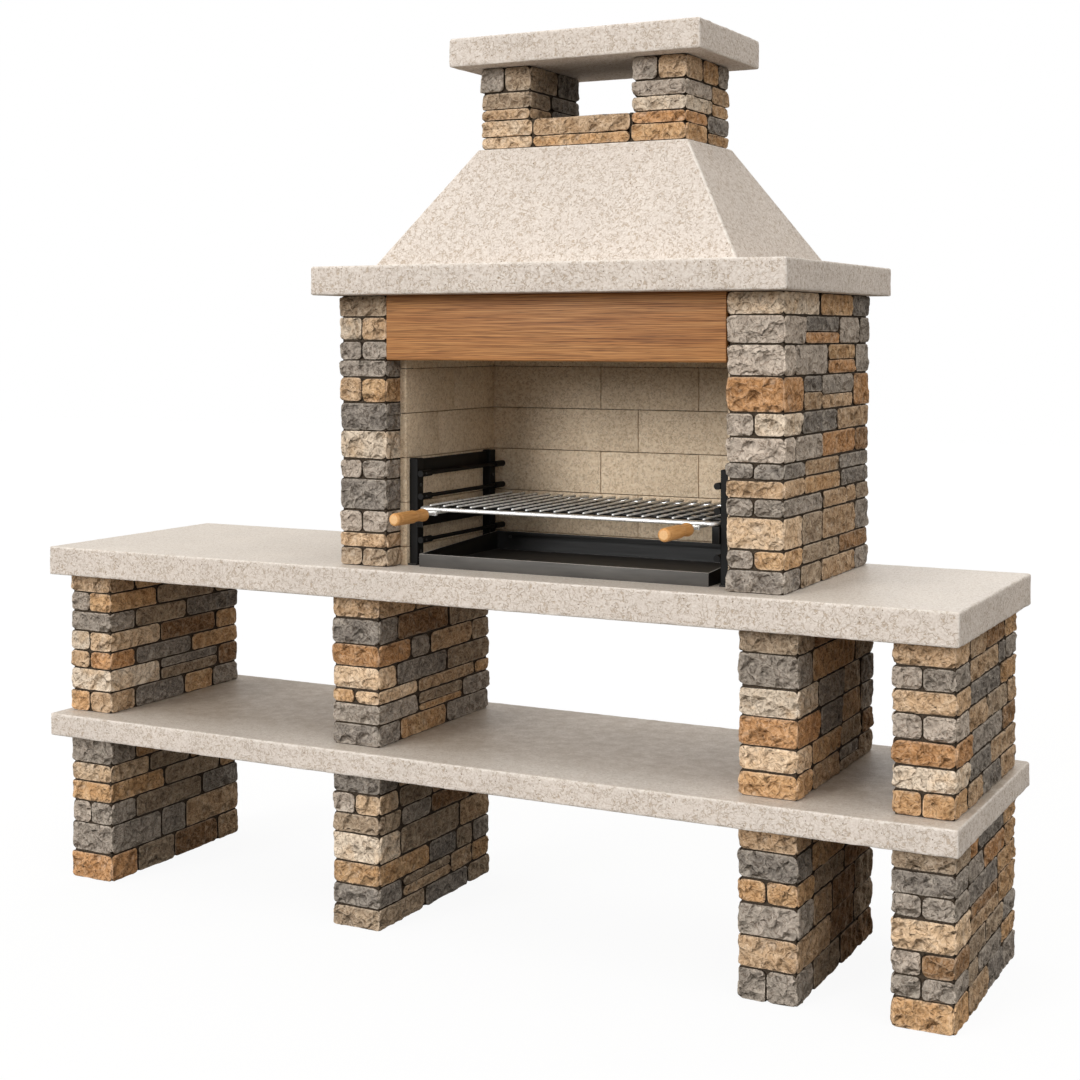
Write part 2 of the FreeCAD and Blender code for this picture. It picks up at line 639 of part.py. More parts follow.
def build_supports():
    """Both grill supports.  Returns the screw holes that go on into the lining."""
    feet, post_screws, plates, rods, collars, collar_screws = [], [], [], [], [], []
    lining_holes = {}
    for name, side in SIDES.items():
        lining_holes[name] = []
        for place, y0 in (("front", FRONT_POST_Y), ("rear", REAR_POST_Y)):
            post, foot, screws, holes = build_post(side, y0)
            export(f"{name}_{place}_post", post)
            feet.append(foot)
            post_screws += screws
            lining_holes[name] += holes
        plate_near = POST_REACH + (POST_WIDTH - TOP_PLATE_THICKNESS) / 2
        plates.append(side_box(side, plate_near, plate_near + TOP_PLATE_THICKNESS,
                               FRONT_POST_Y + POST_DEPTH, REAR_POST_Y, TOP_RAIL, POST_TOP - POST_CORNER))
        side_rods, side_collars, side_screws = build_rails(side)
        rods += side_rods
        collars += side_collars
        collar_screws += side_screws
        export(name + "_runner", build_runner(side))
    export("support_feet", feet)
    export("post_screws", post_screws)
    export("top_plates", plates)
    export("rail_rods", rods)
    export("rail_collars", collars)
    export("collar_screws", collar_screws)
    return lining_holes


# Charcoal tray
def tray_prism(x0, x1, outline):
    """Solid with the given Y and Z outline, between two X planes."""
    points = [Vector(x0, y, z) for y, z in outline]
    return Part.Face(Part.makePolygon(points + points[:1])).extrude(Vector(x1 - x0, 0, 0))


def build_tray():
    """Sheet tray, low at the front with a folded hem, with two rivets in its back wall."""
    reach = RAIL_REACH - COLLAR_DIAMETER / 2 - TRAY_SIDE_GAP
    x0, x1 = FIREBOX_CENTRE_X - reach, FIREBOX_CENTRE_X + reach
    front = FIREBOX_FRONT_SETBACK + TRAY_FRONT_SETBACK
    back = BACK_LINING_FACE - TRAY_BACK_GAP
    base = WORKTOP_TOP + SLIDE_CLEARANCE
    floor = base + TRAY_SHEET
    outer = tray_prism(x0, x1, ((front, base), (back, base), (back, base + TRAY_BACK_HEIGHT),
                                (front, base + TRAY_FRONT_HEIGHT)))
    inner_top = base + 2 * TRAY_BACK_HEIGHT
    inner = box(x0 + TRAY_SHEET, x1 - TRAY_SHEET, front + TRAY_SHEET, back - TRAY_SHEET, floor, inner_top)
    hem_top = base + TRAY_FRONT_HEIGHT
    hem = box(x0 + TRAY_SHEET, x1 - TRAY_SHEET, front + TRAY_SHEET, front + TRAY_HEM,
              hem_top - TRAY_SHEET, hem_top)
    tray = outer.cut(inner).fuse(hem).removeSplitter()
    rivet_z = base + TRAY_BACK_HEIGHT - RIVET_DROP
    wall = back - TRAY_SHEET
    rivets = []
    for x in (x0 + RIVET_END_MARGIN, x1 - RIVET_END_MARGIN):
        head = rod_y(RIVET_HEAD_DIAMETER, x, wall - RIVET_HEAD_HEIGHT, wall, rivet_z)
        rivets.append(head.fuse(rod_y(RIVET_DIAMETER, x, wall, back, rivet_z)))
        tray = tray.cut(rod_y(RIVET_DIAMETER + 2 * PIN_CLEARANCE, x, wall, back, rivet_z))
    export("charcoal_tray", tray)
    export("tray_rivets", rivets)


# Grill
def rounded_frame_path(x0, x1, y0, y1, radius, z):
    """Closed path of four straight runs and four corner arcs, from the middle of the front."""
    diagonal = radius * (1 - math.sqrt(0.5))

    def at(x, y):
        return Vector(x, y, z)

    middle = at((x0 + x1) / 2, y0)
    edges = [
        Part.LineSegment(middle, at(x1 - radius, y0)).toShape(),
        Part.Arc(at(x1 - radius, y0), at(x1 - diagonal, y0 + diagonal), at(x1, y0 + radius)).toShape(),
        Part.LineSegment(at(x1, y0 + radius), at(x1, y1 - radius)).toShape(),
        Part.Arc(at(x1, y1 - radius), at(x1 - diagonal, y1 - diagonal), at(x1 - radius, y1)).toShape(),
        Part.LineSegment(at(x1 - radius, y1), at(x0 + radius, y1)).toShape(),
        Part.Arc(at(x0 + radius, y1), at(x0 + diagonal, y1 - diagonal), at(x0, y1 - radius)).toShape(),
        Part.LineSegment(at(x0, y1 - radius), at(x0, y0 + radius)).toShape(),
        Part.Arc(at(x0, y0 + radius), at(x0 + diagonal, y0 + diagonal), at(x0 + radius, y0)).toShape(),
        Part.LineSegment(at(x0 + radius, y0), middle).toShape(),
    ]
    return edges, middle


def grill_wire(x):
    """Straight wire with rounded ends, welded on top of the frame's rods and the cross rods."""
    wire = rod_y(WIRE_DIAMETER, x, GRILL_FRONT - WIRE_OVERHANG, GRILL_BACK + WIRE_OVERHANG, WIRE_Z)
    ends = [edge for edge in wire.Edges if len(edge.Vertexes) == 1]
    return wire.makeFillet(WIRE_END_ROUNDING, ends)


def handle_loop(x):
    """Bent rod: two legs from inside the handle, joined by a half turn under the grill."""
    half = LOOP_SPREAD / 2
    front = HANDLE_BACK - HANDLE_BITE
    turn = GRILL_FRONT + CROSS_ROD_STEP + LOOP_REAR_OVERHANG - half
    points = [Vector(x - half, front, LOOP_Z), Vector(x - half, turn, LOOP_Z), Vector(x, turn + half, LOOP_Z),
              Vector(x + half, turn, LOOP_Z), Vector(x + half, front, LOOP_Z)]
    edges = [
        Part.LineSegment(points[0], points[1]).toShape(),
        Part.Arc(points[1], points[2], points[3]).toShape(),
        Part.LineSegment(points[3], points[4]).toShape(),
    ]
    return sweep(edges, LOOP_ROD_DIAMETER, points[0], ALONG_Y)


def handle(x):
    """Turned wooden grip with a groove near its tip and a waist, bored for the loop's two legs."""
    r = HANDLE_DIAMETER / 2
    waist = HANDLE_WAIST_DIAMETER / 2
    groove = HANDLE_GROOVE_DIAMETER / 2
    round_in = HANDLE_ROUNDING * (1 - math.sqrt(0.5))
    groove_start = HANDLE_GROOVE_SETBACK
    groove_end = groove_start + HANDLE_GROOVE_WIDTH
    waist_end = HANDLE_LENGTH - HANDLE_WAIST_SETBACK
    waist_start = waist_end - HANDLE_WAIST_LENGTH

    def at(radius, back_from_tip):
        return Vector(x + radius, HANDLE_TIP + back_from_tip, LOOP_Z)

    def line(start, end):
        return Part.LineSegment(at(*start), at(*end)).toShape()

    def arc(start, middle, end):
        return Part.Arc(at(*start), at(*middle), at(*end)).toShape()

    tip, tip_end = (r - HANDLE_ROUNDING, 0), (r, HANDLE_ROUNDING)
    tail, tail_end = (r, HANDLE_LENGTH - HANDLE_ROUNDING), (r - HANDLE_ROUNDING, HANDLE_LENGTH)
    edges = [
        line((0, 0), tip),
        arc(tip, (r - round_in, round_in), tip_end),
        line(tip_end, (r, groove_start)),
        arc((r, groove_start), (groove, (groove_start + groove_end) / 2), (r, groove_end)),
        line((r, groove_end), (r, waist_start)),
        arc((r, waist_start), (waist, (waist_start + waist_end) / 2), (r, waist_end)),
        line((r, waist_end), tail),
        arc(tail, (r - round_in, HANDLE_LENGTH - round_in), tail_end),
        line(tail_end, (0, HANDLE_LENGTH)),
        line((0, HANDLE_LENGTH), (0, 0)),
    ]
    grip = Part.Face(Part.Wire(edges)).revolve(at(0, 0), ALONG_Y, 360)
    bores = [rod_y(LOOP_ROD_DIAMETER + 2 * PIN_CLEARANCE, x + side * LOOP_SPREAD / 2,
                   HANDLE_BACK - HANDLE_BITE, HANDLE_BACK, LOOP_Z) for side in (-1, 1)]
    return grip.cut(bores)


def loop_clip(x):
    """Flat band clamped round both legs of a handle loop, in front of the grill."""
    half_width = (LOOP_SPREAD + LOOP_ROD_DIAMETER) / 2 + CLIP_SHEET
    half_height = LOOP_ROD_DIAMETER / 2 + CLIP_SHEET
    y0 = GRILL_FRONT - CLIP_GAP
    y1 = y0 + CLIP_WIDTH
    band = box(x - half_width, x + half_width, y0, y1, LOOP_Z - half_height, LOOP_Z + half_height)
    legs = [rod_y(LOOP_ROD_DIAMETER + 2 * PIN_CLEARANCE, x + side * LOOP_SPREAD / 2, y0, y1, LOOP_Z)
            for side in (-1, 1)]
    return band.cut(legs)


def build_grill():
    x0, x1 = FIREBOX_CENTRE_X - GRILL_REACH, FIREBOX_CENTRE_X + GRILL_REACH
    path, start = rounded_frame_path(x0, x1, GRILL_FRONT, GRILL_BACK, GRILL_CORNER, GRILL_Z)
    export("grill_frame", sweep(path, GRILL_ROD_DIAMETER, start, ALONG_X))

    rods = []
    for number in range(1, CROSS_ROD_COUNT + 1):
        y = GRILL_FRONT + number * CROSS_ROD_STEP
        rods.append(rod_x(GRILL_ROD_DIAMETER, x0 + GRILL_ROD, x1 - GRILL_ROD, y, GRILL_Z))
    export("grill_cross_rods", rods)

    free_width = 2 * (GRILL_REACH - GRILL_ROD - WIRE_EDGE_GAP)
    spaces = int(free_width // WIRE_PITCH)
    first = FIREBOX_CENTRE_X - spaces * WIRE_PITCH / 2
    export("grill_wires", [grill_wire(first + number * WIRE_PITCH) for number in range(spaces + 1)])

    loops, clips = [], []
    for name, side in SIDES.items():
        x = FIREBOX_CENTRE_X + side * HANDLE_REACH
        loops.append(handle_loop(x))
        clips.append(loop_clip(x))
        export(name + "_handle", handle(x))
    export("handle_loops", loops)
    export("loop_clips", clips)


os.makedirs("parts", exist_ok=True)
build_piers()
build_slabs()
build_firebox()
build_lining(build_supports())
build_hood()
build_chimney()
build_tray()
build_grill()
print("overall height", CAP_TOP, "origin depth", ORIGIN_Y, "grill level", GRILL_Z)
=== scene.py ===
# %% [markdown]
# # A masonry barbecue, dressed piece by piece
# The barbecue is built from split stones, cast slabs, a timber beam and a steel grill.
# Its construction comes in as a fixed frame of plain solids, in metres, with Z up.
# This lesson gives each solid the surface of the real thing, and never moves one.

# %% Load the frame
import math
import random

import bmesh
import bpy
import numpy as np
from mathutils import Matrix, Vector


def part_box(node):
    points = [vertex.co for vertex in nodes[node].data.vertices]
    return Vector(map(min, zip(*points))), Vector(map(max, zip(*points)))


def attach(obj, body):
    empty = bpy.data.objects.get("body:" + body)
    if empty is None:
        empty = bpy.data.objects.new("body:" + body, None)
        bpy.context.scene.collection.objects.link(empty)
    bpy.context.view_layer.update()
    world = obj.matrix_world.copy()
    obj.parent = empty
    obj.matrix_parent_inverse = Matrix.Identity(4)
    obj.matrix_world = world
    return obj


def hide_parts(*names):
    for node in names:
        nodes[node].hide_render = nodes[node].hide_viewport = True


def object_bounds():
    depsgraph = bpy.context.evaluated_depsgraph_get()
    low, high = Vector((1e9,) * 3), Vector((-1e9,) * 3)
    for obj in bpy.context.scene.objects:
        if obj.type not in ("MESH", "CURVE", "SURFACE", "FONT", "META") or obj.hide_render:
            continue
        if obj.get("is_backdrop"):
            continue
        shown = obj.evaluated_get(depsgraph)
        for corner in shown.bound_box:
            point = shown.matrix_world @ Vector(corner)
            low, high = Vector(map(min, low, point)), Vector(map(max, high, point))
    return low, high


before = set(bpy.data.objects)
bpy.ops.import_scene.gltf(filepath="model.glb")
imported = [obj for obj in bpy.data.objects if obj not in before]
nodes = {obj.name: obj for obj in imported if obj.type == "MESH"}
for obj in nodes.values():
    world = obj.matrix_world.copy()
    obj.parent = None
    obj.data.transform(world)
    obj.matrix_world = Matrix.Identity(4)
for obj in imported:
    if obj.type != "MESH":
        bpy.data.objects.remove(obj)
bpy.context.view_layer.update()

# %% [markdown]
# ## Small helpers
# A node tree is easier to read when one call makes a node, sets its options and fills its
# sockets.  `Graph` wraps a shader tree or a geometry tree and gives such calls.
# Colours are written as the eye reads them, from 0 to 255, and turned into linear light.

# %% Helpers for node trees
MILLIMETRE = 0.001


class Graph:
    """A node tree, with short calls for the nodes that this lesson uses."""

    def __init__(self, tree):
        self.tree = tree

    def node(self, kind, inputs=(), **options):
        made = self.tree.nodes.new(kind)
        for option, value in options.items():
            setattr(made, option, value)
        for socket, value in dict(inputs).items():
            if isinstance(value, bpy.types.NodeSocket):
                self.tree.links.new(value, made.inputs[socket])
            else:
                made.inputs[socket].default_value = value
        return made

    def math(self, operation, *values):
        return self.node("ShaderNodeMath", enumerate(values), operation=operation).outputs[0]

    def times(self, first, second):
        return self.math("MULTIPLY", first, second)

    def plus(self, first, second):
        return self.math("ADD", first, second)

    def minus(self, first, second):
        return self.math("SUBTRACT", first, second)

    def larger(self, first, second):
        return self.math("MAXIMUM", first, second)

    def smaller(self, first, second):
        return self.math("MINIMUM", first, second)

    def vector(self, operation, *values):
        made = self.node("ShaderNodeVectorMath", enumerate(values), operation=operation)
        return made.outputs["Value" if operation == "DOT_PRODUCT" else "Vector"]

    def scaled(self, vector, factor):
        made = self.node("ShaderNodeVectorMath", {0: vector, "Scale": factor}, operation="SCALE")
        return made.outputs["Vector"]

    def parts(self, vector):
        """The X, Y and Z of a vector."""
        return self.node("ShaderNodeSeparateXYZ", {0: vector}).outputs

    def stored(self, name, kind="FLOAT"):
        """An attribute that a mesh carries into a geometry tree."""
        made = self.node("GeometryNodeInputNamedAttribute", {"Name": name}, data_type=kind)
        return made.outputs["Attribute"]

    def range(self, value, low, high, to_low=0.0, to_high=1.0):
        """Carry a value from one range to another, and stop it at the ends."""
        places = {"Value": value, "From Min": low, "From Max": high, "To Min": to_low, "To Max": to_high}
        return self.node("ShaderNodeMapRange", places).outputs["Result"]

    def mix(self, factor, first, second, blend="MIX"):
        """Blend two colours."""
        made = self.node("ShaderNodeMix", {0: factor, 6: first, 7: second}, data_type="RGBA",
                         blend_type=blend)
        return made.outputs[2]

    def multiplied(self, first, second):
        """Multiply two colours."""
        return self.mix(1.0, first, second, blend="MULTIPLY")

    def shaded(self, colour, value, *levels):
        """Multiply a colour by greys, given as (place, level) stops along a value."""
        stops = [(place, grey(level)) for place, level in levels]
        return self.multiplied(colour, self.ramp(value, *stops))

    def noise(self, vector, scale, detail=2.0, roughness=0.5, distortion=0.0, output="Fac"):
        sockets = {"Vector": vector, "Scale": scale, "Detail": detail, "Roughness": roughness,
                   "Distortion": distortion}
        return self.node("ShaderNodeTexNoise", sockets).outputs[output]

    def cells(self, vector, scale, feature="F1", distance="EUCLIDEAN"):
        """Voronoi cells."""
        return self.node("ShaderNodeTexVoronoi", {"Vector": vector, "Scale": scale}, feature=feature,
                         distance=distance)

    def ramp(self, value, *stops):
        """Colour ramp through (place, colour) stops."""
        made = self.node("ShaderNodeValToRGB", {"Fac": value})
        points = made.color_ramp.elements
        while len(points) < len(stops):
            points.new(0.5)
        for point, (place, colour) in zip(points, stops):
            point.position = place
            point.color = colour
        return made.outputs["Color"]


# %% Colours and finishes
def paint(red, green, blue):
    """Linear colour from values as the eye reads them, 0 to 255."""
    def linear(value):
        share = value / 255
        return share / 12.92 if share <= 0.04045 else ((share + 0.055) / 1.055) ** 2.4

    return (linear(red), linear(green), linear(blue), 1.0)


def grey(level):
    """A grey to multiply by, where 1 changes nothing."""
    return (level, level, level, 1.0)


class Finish(Graph):
    """A material, with its shader and the coordinates that its patterns read."""

    def __init__(self, name, **settings):
        self.material = bpy.data.materials.new(name)
        self.material.use_nodes = True
        super().__init__(self.material.node_tree)
        self.shader = self.tree.nodes["Principled BSDF"]
        for socket, value in settings.items():
            self.shader.inputs[socket.replace("_", " ")].default_value = value
        self.place = self.node("ShaderNodeTexCoord").outputs["Object"]

    def attribute(self, name, output="Fac"):
        return self.node("ShaderNodeAttribute", attribute_name=name).outputs[output]

    def stretched(self, x, y, z):
        """The coordinates, scaled along each axis."""
        made = self.node("ShaderNodeMapping", {"Vector": self.place, "Scale": (x, y, z)})
        return made.outputs["Vector"]

    def facing(self, axis, low, high):
        """How far a face looks along an axis, from 0 at the low limit to 1 at the high one."""
        normal = self.node("ShaderNodeNewGeometry").outputs["Normal"]
        return self.range(self.parts(normal)[axis], low, high)

    def colour(self, value):
        self.tree.links.new(value, self.shader.inputs["Base Color"])

    def rough(self, value):
        self.tree.links.new(value, self.shader.inputs["Roughness"])

    def bumps(self, *heights):
        """Stack bumps, each a (height, depth in metres, strength) on top of the last."""
        normal = None
        for height, depth, strength in heights:
            sockets = {"Height": height, "Distance": depth, "Strength": strength}
            if normal is not None:
                sockets["Normal"] = normal
            normal = self.node("ShaderNodeBump", sockets).outputs["Normal"]
        self.tree.links.new(normal, self.shader.inputs["Normal"])


# %% Solids and pieces
WELD_DISTANCE = 0.01 * MILLIMETRE


def dress(node, finish):
    """Give a node that stays its finish."""
    nodes[node].data.materials.clear()
    nodes[node].data.materials.append(finish.material)


def solid_boxes(node):
    """Lowest and highest corner of each separate solid of a node, from the ground up."""
    merged = bmesh.new()
    merged.from_mesh(nodes[node].data)
    bmesh.ops.remove_doubles(merged, verts=merged.verts, dist=WELD_DISTANCE)
    unseen = set(merged.verts)
    boxes = []
    while unseen:
        reached = [unseen.pop()]
        corners = []
        while reached:
            vertex = reached.pop()
            corners.append(tuple(vertex.co))
            near = {edge.other_vert(vertex) for edge in vertex.link_edges} & unseen
            unseen -= near
            reached.extend(near)
        boxes.append((np.min(corners, axis=0), np.max(corners, axis=0)))
    merged.free()
    return sorted(boxes, key=lambda box: tuple(np.round(box[0][[2, 1, 0]], 4)))


def add_piece(name, mesh, body, slot, *replaced):
    """Put a finished mesh in the scene as a piece that stands for CAD nodes."""
    piece = bpy.data.objects.new(name, mesh)
    bpy.context.scene.collection.objects.link(piece)
    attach(piece, body)
    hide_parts(*replaced)


# %% [markdown]
# ## Block shapes
# Stones and slabs are both boxes with worn edges.  A cube with a Bevel modifier could
# do, but every stone would then look machined.  Here each box is cut into small cells on the
# sides that show, and a geometry tree rounds its edges by an uneven radius and pushes its
# faces in and out.  One tree makes all the stones and, with other inputs, the slabs.

# %% Pre-cut boxes
EDGE_STEPS = (1.5 * MILLIMETRE, 4 * MILLIMETRE, 8 * MILLIMETRE)
SHORT_SHARE = 0.3
ATTRIBUTE_KINDS = {1: ("FLOAT", "value"), 3: ("FLOAT_VECTOR", "vector"), 4: ("FLOAT_COLOR", "color")}


def set_attribute(mesh, name, values):
    """Store a number, a vector or a colour for each point of a mesh."""
    table = np.asarray(values, dtype=np.float32)
    kind, field = ATTRIBUTE_KINDS[table.size // len(table)]
    layer = mesh.attributes.new(name, kind, "POINT")
    layer.data.foreach_set(field, table.ravel())


def graded(length, cell):
    """Places along a length: close together at its ends, and a cell apart between them."""
    reach = min(1.0, SHORT_SHARE * length / EDGE_STEPS[-1])
    ends = [0.0] + [step * reach for step in EDGE_STEPS]
    free = length - 2 * ends[-1]
    count = max(1, round(free / cell))
    middle = [ends[-1] + free * part / count for part in range(1, count)]
    return np.array(ends + middle + [length - end for end in reversed(ends)])


def side_points(low, high, sides):
    """Points round a rectangle, seen from above, and whether each lies on a side that shows."""
    corners = np.array([(low[0], low[1]), (high[0], low[1]), (high[0], high[1]), (low[0], high[1])])
    points, shown = [], []
    for index, (cell, shows) in enumerate(sides):
        start, end = corners[index], corners[(index + 1) % 4]
        length = float(np.linalg.norm(end - start))
        places = graded(length, cell)[:-1]
        points.extend(start + (end - start) * place / length for place in places)
        shown.extend([max(shows, sides[index - 1][1])] + [shows] * (len(places) - 1))
    return np.array(points), np.array(shown, dtype=float)


def block_mesh(name, blocks, level_cell, rim):
    """Boxes cut into cells, with a rim of narrow cells round each flat top and base."""
    points, faces, centres, halves, tilts, seeds, shown = [], [], [], [], [], [], []
    first = 0
    for low, high, sides, tilt, seed in blocks:
        outline, outline_shown = side_points(low, high, sides)
        middle = (np.array(low) + np.array(high)) / 2
        half = (np.array(high) - np.array(low)) / 2
        rings = [(inset, low[2]) for inset in reversed(rim)]
        rings += [(0.0, low[2] + level) for level in graded(high[2] - low[2], level_cell)]
        rings += [(inset, high[2]) for inset in rim]
        count = len(outline)
        for inset, level in rings:
            flat = middle[:2] + (outline - middle[:2]) * (half[:2] - inset) / half[:2]
            points.append(np.column_stack([flat, np.full(count, level)]))
            shown.append(np.zeros(count) if inset else outline_shown)
        for ring in range(len(rings) - 1):
            base = first + ring * count
            for corner in range(count):
                after = (corner + 1) % count
                faces.append((base + corner, base + after, base + count + after, base + count + corner))
        top = first + (len(rings) - 1) * count
        faces.append(tuple(range(first + count - 1, first - 1, -1)))
        faces.append(tuple(range(top, top + count)))
        made = len(rings) * count
        centres.append(np.tile(middle, (made, 1)))
        halves.append(np.tile(half, (made, 1)))
        tilts.append(np.tile(tilt, (made, 1)))
        seeds.append(np.full(made, seed))
        first += made
    mesh = bpy.data.meshes.new(name)
    mesh.from_pydata(np.concatenate(points).tolist(), [], faces)
    carried = {"centre": centres, "half": halves, "tilt": tilts, "seed": seeds, "shown": shown}
    for label, values in carried.items():
        set_attribute(mesh, "block_" + label, np.concatenate(values))
    return mesh, [len(part) for part in seeds]


# %% [markdown]
# ## The tree that wears a block
# Each point is measured from its block's centre.  First the block shrinks a little, by a noise,
# so that its outline wavers, and near the ends of a face the height is pulled in along a quarter
# circle, which rounds the corners of the face.  The point is then clamped to a smaller box
# inside, and what is left over points outwards, so making that one radius long rounds all the
# edges at once.  Last, the faces that show get their relief: a pillow that stands proud in the
# middle, a broad swell, flakes and facets.  A hammer splits stone in thin shells, so the flakes
# are a noise cut into terraces, nearly flat on top with steep steps between.  A chisel leaves
# flat planes that meet in ridges, so the facets are Voronoi cells measured along the axes, whose
# sides are flat, turned askew.  The tree stores how near each point lies to an edge, where a
# finish puts wear and a painted highlight, and where it reads its patterns, and the finish reads both.

# %% Flakes and facets, for shape and finish alike
SPOT_STEP = (0.37, 0.11, 0.23)
FLAKE_LEVELS = 5.0
FLAKE_STEP = 0.3
FLAKE_RISE = 0.75
FLAKE_LEAN = 1.5
FACET_BEND = 0.35
FACET_TURN = (0.6, 0.45, 0.35)


def stone_spot(graph, place, seed):
    """Where a block samples its patterns, so that no two blocks match."""
    return graph.vector("ADD", place, graph.scaled(SPOT_STEP, seed))


def bent_spot(graph, spot, size, bend):
    """The place, bent by a noise of one pattern's size, and the scale of that pattern."""
    scale = graph.math("DIVIDE", 1.0, size)
    warp = graph.vector("SUBTRACT", graph.noise(spot, scale, output="Color"), (0.5, 0.5, 0.5))
    return graph.vector("ADD", spot, graph.scaled(warp, graph.times(size, bend))), scale


def flakes(graph, spot, size):
    """Terraces of split stone: their height from 0 to 1, and the way across each one."""
    bent, scale = bent_spot(graph, spot, size, 1.0)
    layered = graph.vector("MULTIPLY", bent, (1.0, 1.0, FLAKE_LEAN))
    broad = graph.noise(layered, scale, detail=3.0, roughness=0.55)
    level = graph.range(broad, 0.15, 0.85, 0.0, FLAKE_LEVELS)
    across = graph.math("FRACT", level)
    steep = graph.times(graph.range(across, 0.0, FLAKE_STEP), FLAKE_RISE)
    step = graph.math("MULTIPLY_ADD", across, 1 - FLAKE_RISE, steep)
    height = graph.math("DIVIDE", graph.plus(graph.math("FLOOR", level), step), FLAKE_LEVELS)
    return height, across


def facets(graph, spot, size):
    """Flat planes that a chisel leaves: the rise from their foot, and the way to the next ridge."""
    bent, scale = bent_spot(graph, spot, size, FACET_BEND)
    turned = graph.node("ShaderNodeVectorRotate", {"Vector": bent, "Rotation": FACET_TURN},
                        rotation_type="EULER_XYZ").outputs[0]
    nearest = graph.cells(turned, scale, distance="MANHATTAN").outputs["Distance"]
    second = graph.cells(turned, scale, feature="F2", distance="MANHATTAN").outputs["Distance"]
    return nearest, graph.minus(second, nearest)


# %% Tools for geometry trees
def new_geometry_tree(name, numbers, counts=()):
    """Geometry tree with named inputs and a material; returns its graph, inputs and output node."""
    tree = bpy.data.node_groups.new(name, "GeometryNodeTree")
    sockets = [("Geometry", "Geometry")] + [(label, "Float") for label in numbers]
    sockets += [(label, "Int") for label in counts] + [("Material", "Material")]
    for label, kind in sockets:
        tree.interface.new_socket(label, in_out="INPUT", socket_type="NodeSocket" + kind)
    tree.interface.new_socket("Geometry", in_out="OUTPUT", socket_type="NodeSocketGeometry")
    graph = Graph(tree)
    return graph, graph.node("NodeGroupInput").outputs, graph.node("NodeGroupOutput")


def finish_tree(graph, geometry, material, end):
    """Close a tree the same way each time: real geometry, with its material."""
    real = graph.node("GeometryNodeRealizeInstances", {"Geometry": geometry})
    dressed = graph.node("GeometryNodeSetMaterial", {"Geometry": real.outputs[0], "Material": material})
    graph.tree.links.new(dressed.outputs[0], end.inputs[0])


def grown(mesh, tree, inputs):
    """The plain mesh that a geometry tree makes from a mesh, with its inputs set by identifier."""
    carrier = bpy.data.objects.new(mesh.name + "_carrier", mesh)
    bpy.context.scene.collection.objects.link(carrier)
    modifier = carrier.modifiers.new("growth", "NODES")
    modifier.node_group = tree
    for item in tree.interface.items_tree:
        if item.name in inputs:
            modifier[item.identifier] = inputs[item.name]
    depsgraph = bpy.context.evaluated_depsgraph_get()
    result = bpy.data.meshes.new_from_object(carrier.evaluated_get(depsgraph), depsgraph=depsgraph,
                                             preserve_all_data_layers=True)
    bpy.data.objects.remove(carrier)
    return result


# %% Steps of the worn block
OUTLINE_CHANGE = 0.5
WAVER_SCALE = 24.0
SWELL_SCALE = 9.0
MIDDLE_NOISE = (0.3, 0.7)
PILLOW_REACH = 16 * MILLIMETRE


def edge_ways(graph, local, half):
    """From a point on a face: the way to the nearest edge, and to the nearest end of the face."""
    gap = graph.parts(graph.vector("SUBTRACT", half, graph.vector("ABSOLUTE", local)))
    nearer = graph.smaller(gap["X"], gap["Y"])
    farther = graph.larger(gap["X"], gap["Y"])
    # Of the three distances to the sides, the middle one is the way to the nearest edge
    return graph.larger(nearer, graph.smaller(farther, gap["Z"])), farther


def shrunk_half(graph, given, spot, half, wander, to_end):
    """Half sizes of a block that shrinks unevenly, with faces less high towards their ends."""
    corner = graph.times(given["Outline Radius"], graph.math("MULTIPLY_ADD", wander, OUTLINE_CHANGE, 1.0))
    short = graph.larger(graph.minus(corner, to_end), 0.0)
    rise = graph.minus(graph.times(corner, corner), graph.times(short, short))
    drop = graph.minus(corner, graph.math("SQRT", graph.larger(rise, 0.0)))
    waver = graph.range(graph.noise(spot, WAVER_SCALE), *MIDDLE_NOISE)
    shrink = graph.times(waver, given["Outline Wander"])
    lost = graph.node("ShaderNodeCombineXYZ", {0: shrink, 1: shrink, 2: graph.plus(shrink, drop)})
    return graph.vector("SUBTRACT", half, lost.outputs[0])


def rounded_edges(graph, given, local, half, wander):
    """Where a point lies once its block's edges are round, and the way outwards from there."""
    share = graph.math("MULTIPLY_ADD", wander, given["Edge Change"], 1.0)
    radius = graph.times(given["Edge Radius"], share)
    inside = graph.vector("SUBTRACT", half, radius)
    upper = graph.vector("MINIMUM", local, inside)
    clamped = graph.vector("MAXIMUM", upper, graph.scaled(inside, -1.0))
    outward = graph.vector("NORMALIZE", graph.vector("SUBTRACT", local, clamped))
    return graph.vector("ADD", clamped, graph.vector("MULTIPLY", outward, radius)), outward


def face_relief(graph, given, spot, to_edge):
    """Height of a face that shows: its pillow, broad swell, flakes and facets."""
    climb = graph.range(to_edge, 0.0, PILLOW_REACH)
    dome = graph.times(climb, graph.minus(2.0, climb))
    pillow = graph.times(dome, given["Pillow Height"])
    broad = graph.noise(spot, SWELL_SCALE, detail=1.0)
    swell = graph.times(graph.range(broad, *MIDDLE_NOISE, -1.0, 0.4), given["Swell Depth"])
    terrace, _ = flakes(graph, spot, given["Flake Size"])
    flake = graph.times(graph.range(terrace, 0.0, 1.0, -0.7, 0.4), given["Flake Depth"])
    plane, _ = facets(graph, spot, given["Facet Size"])
    facet = graph.times(graph.range(plane, 0.1, 1.0, -0.6, 0.4), given["Facet Depth"])
    return graph.plus(graph.plus(pillow, swell), graph.plus(flake, facet))


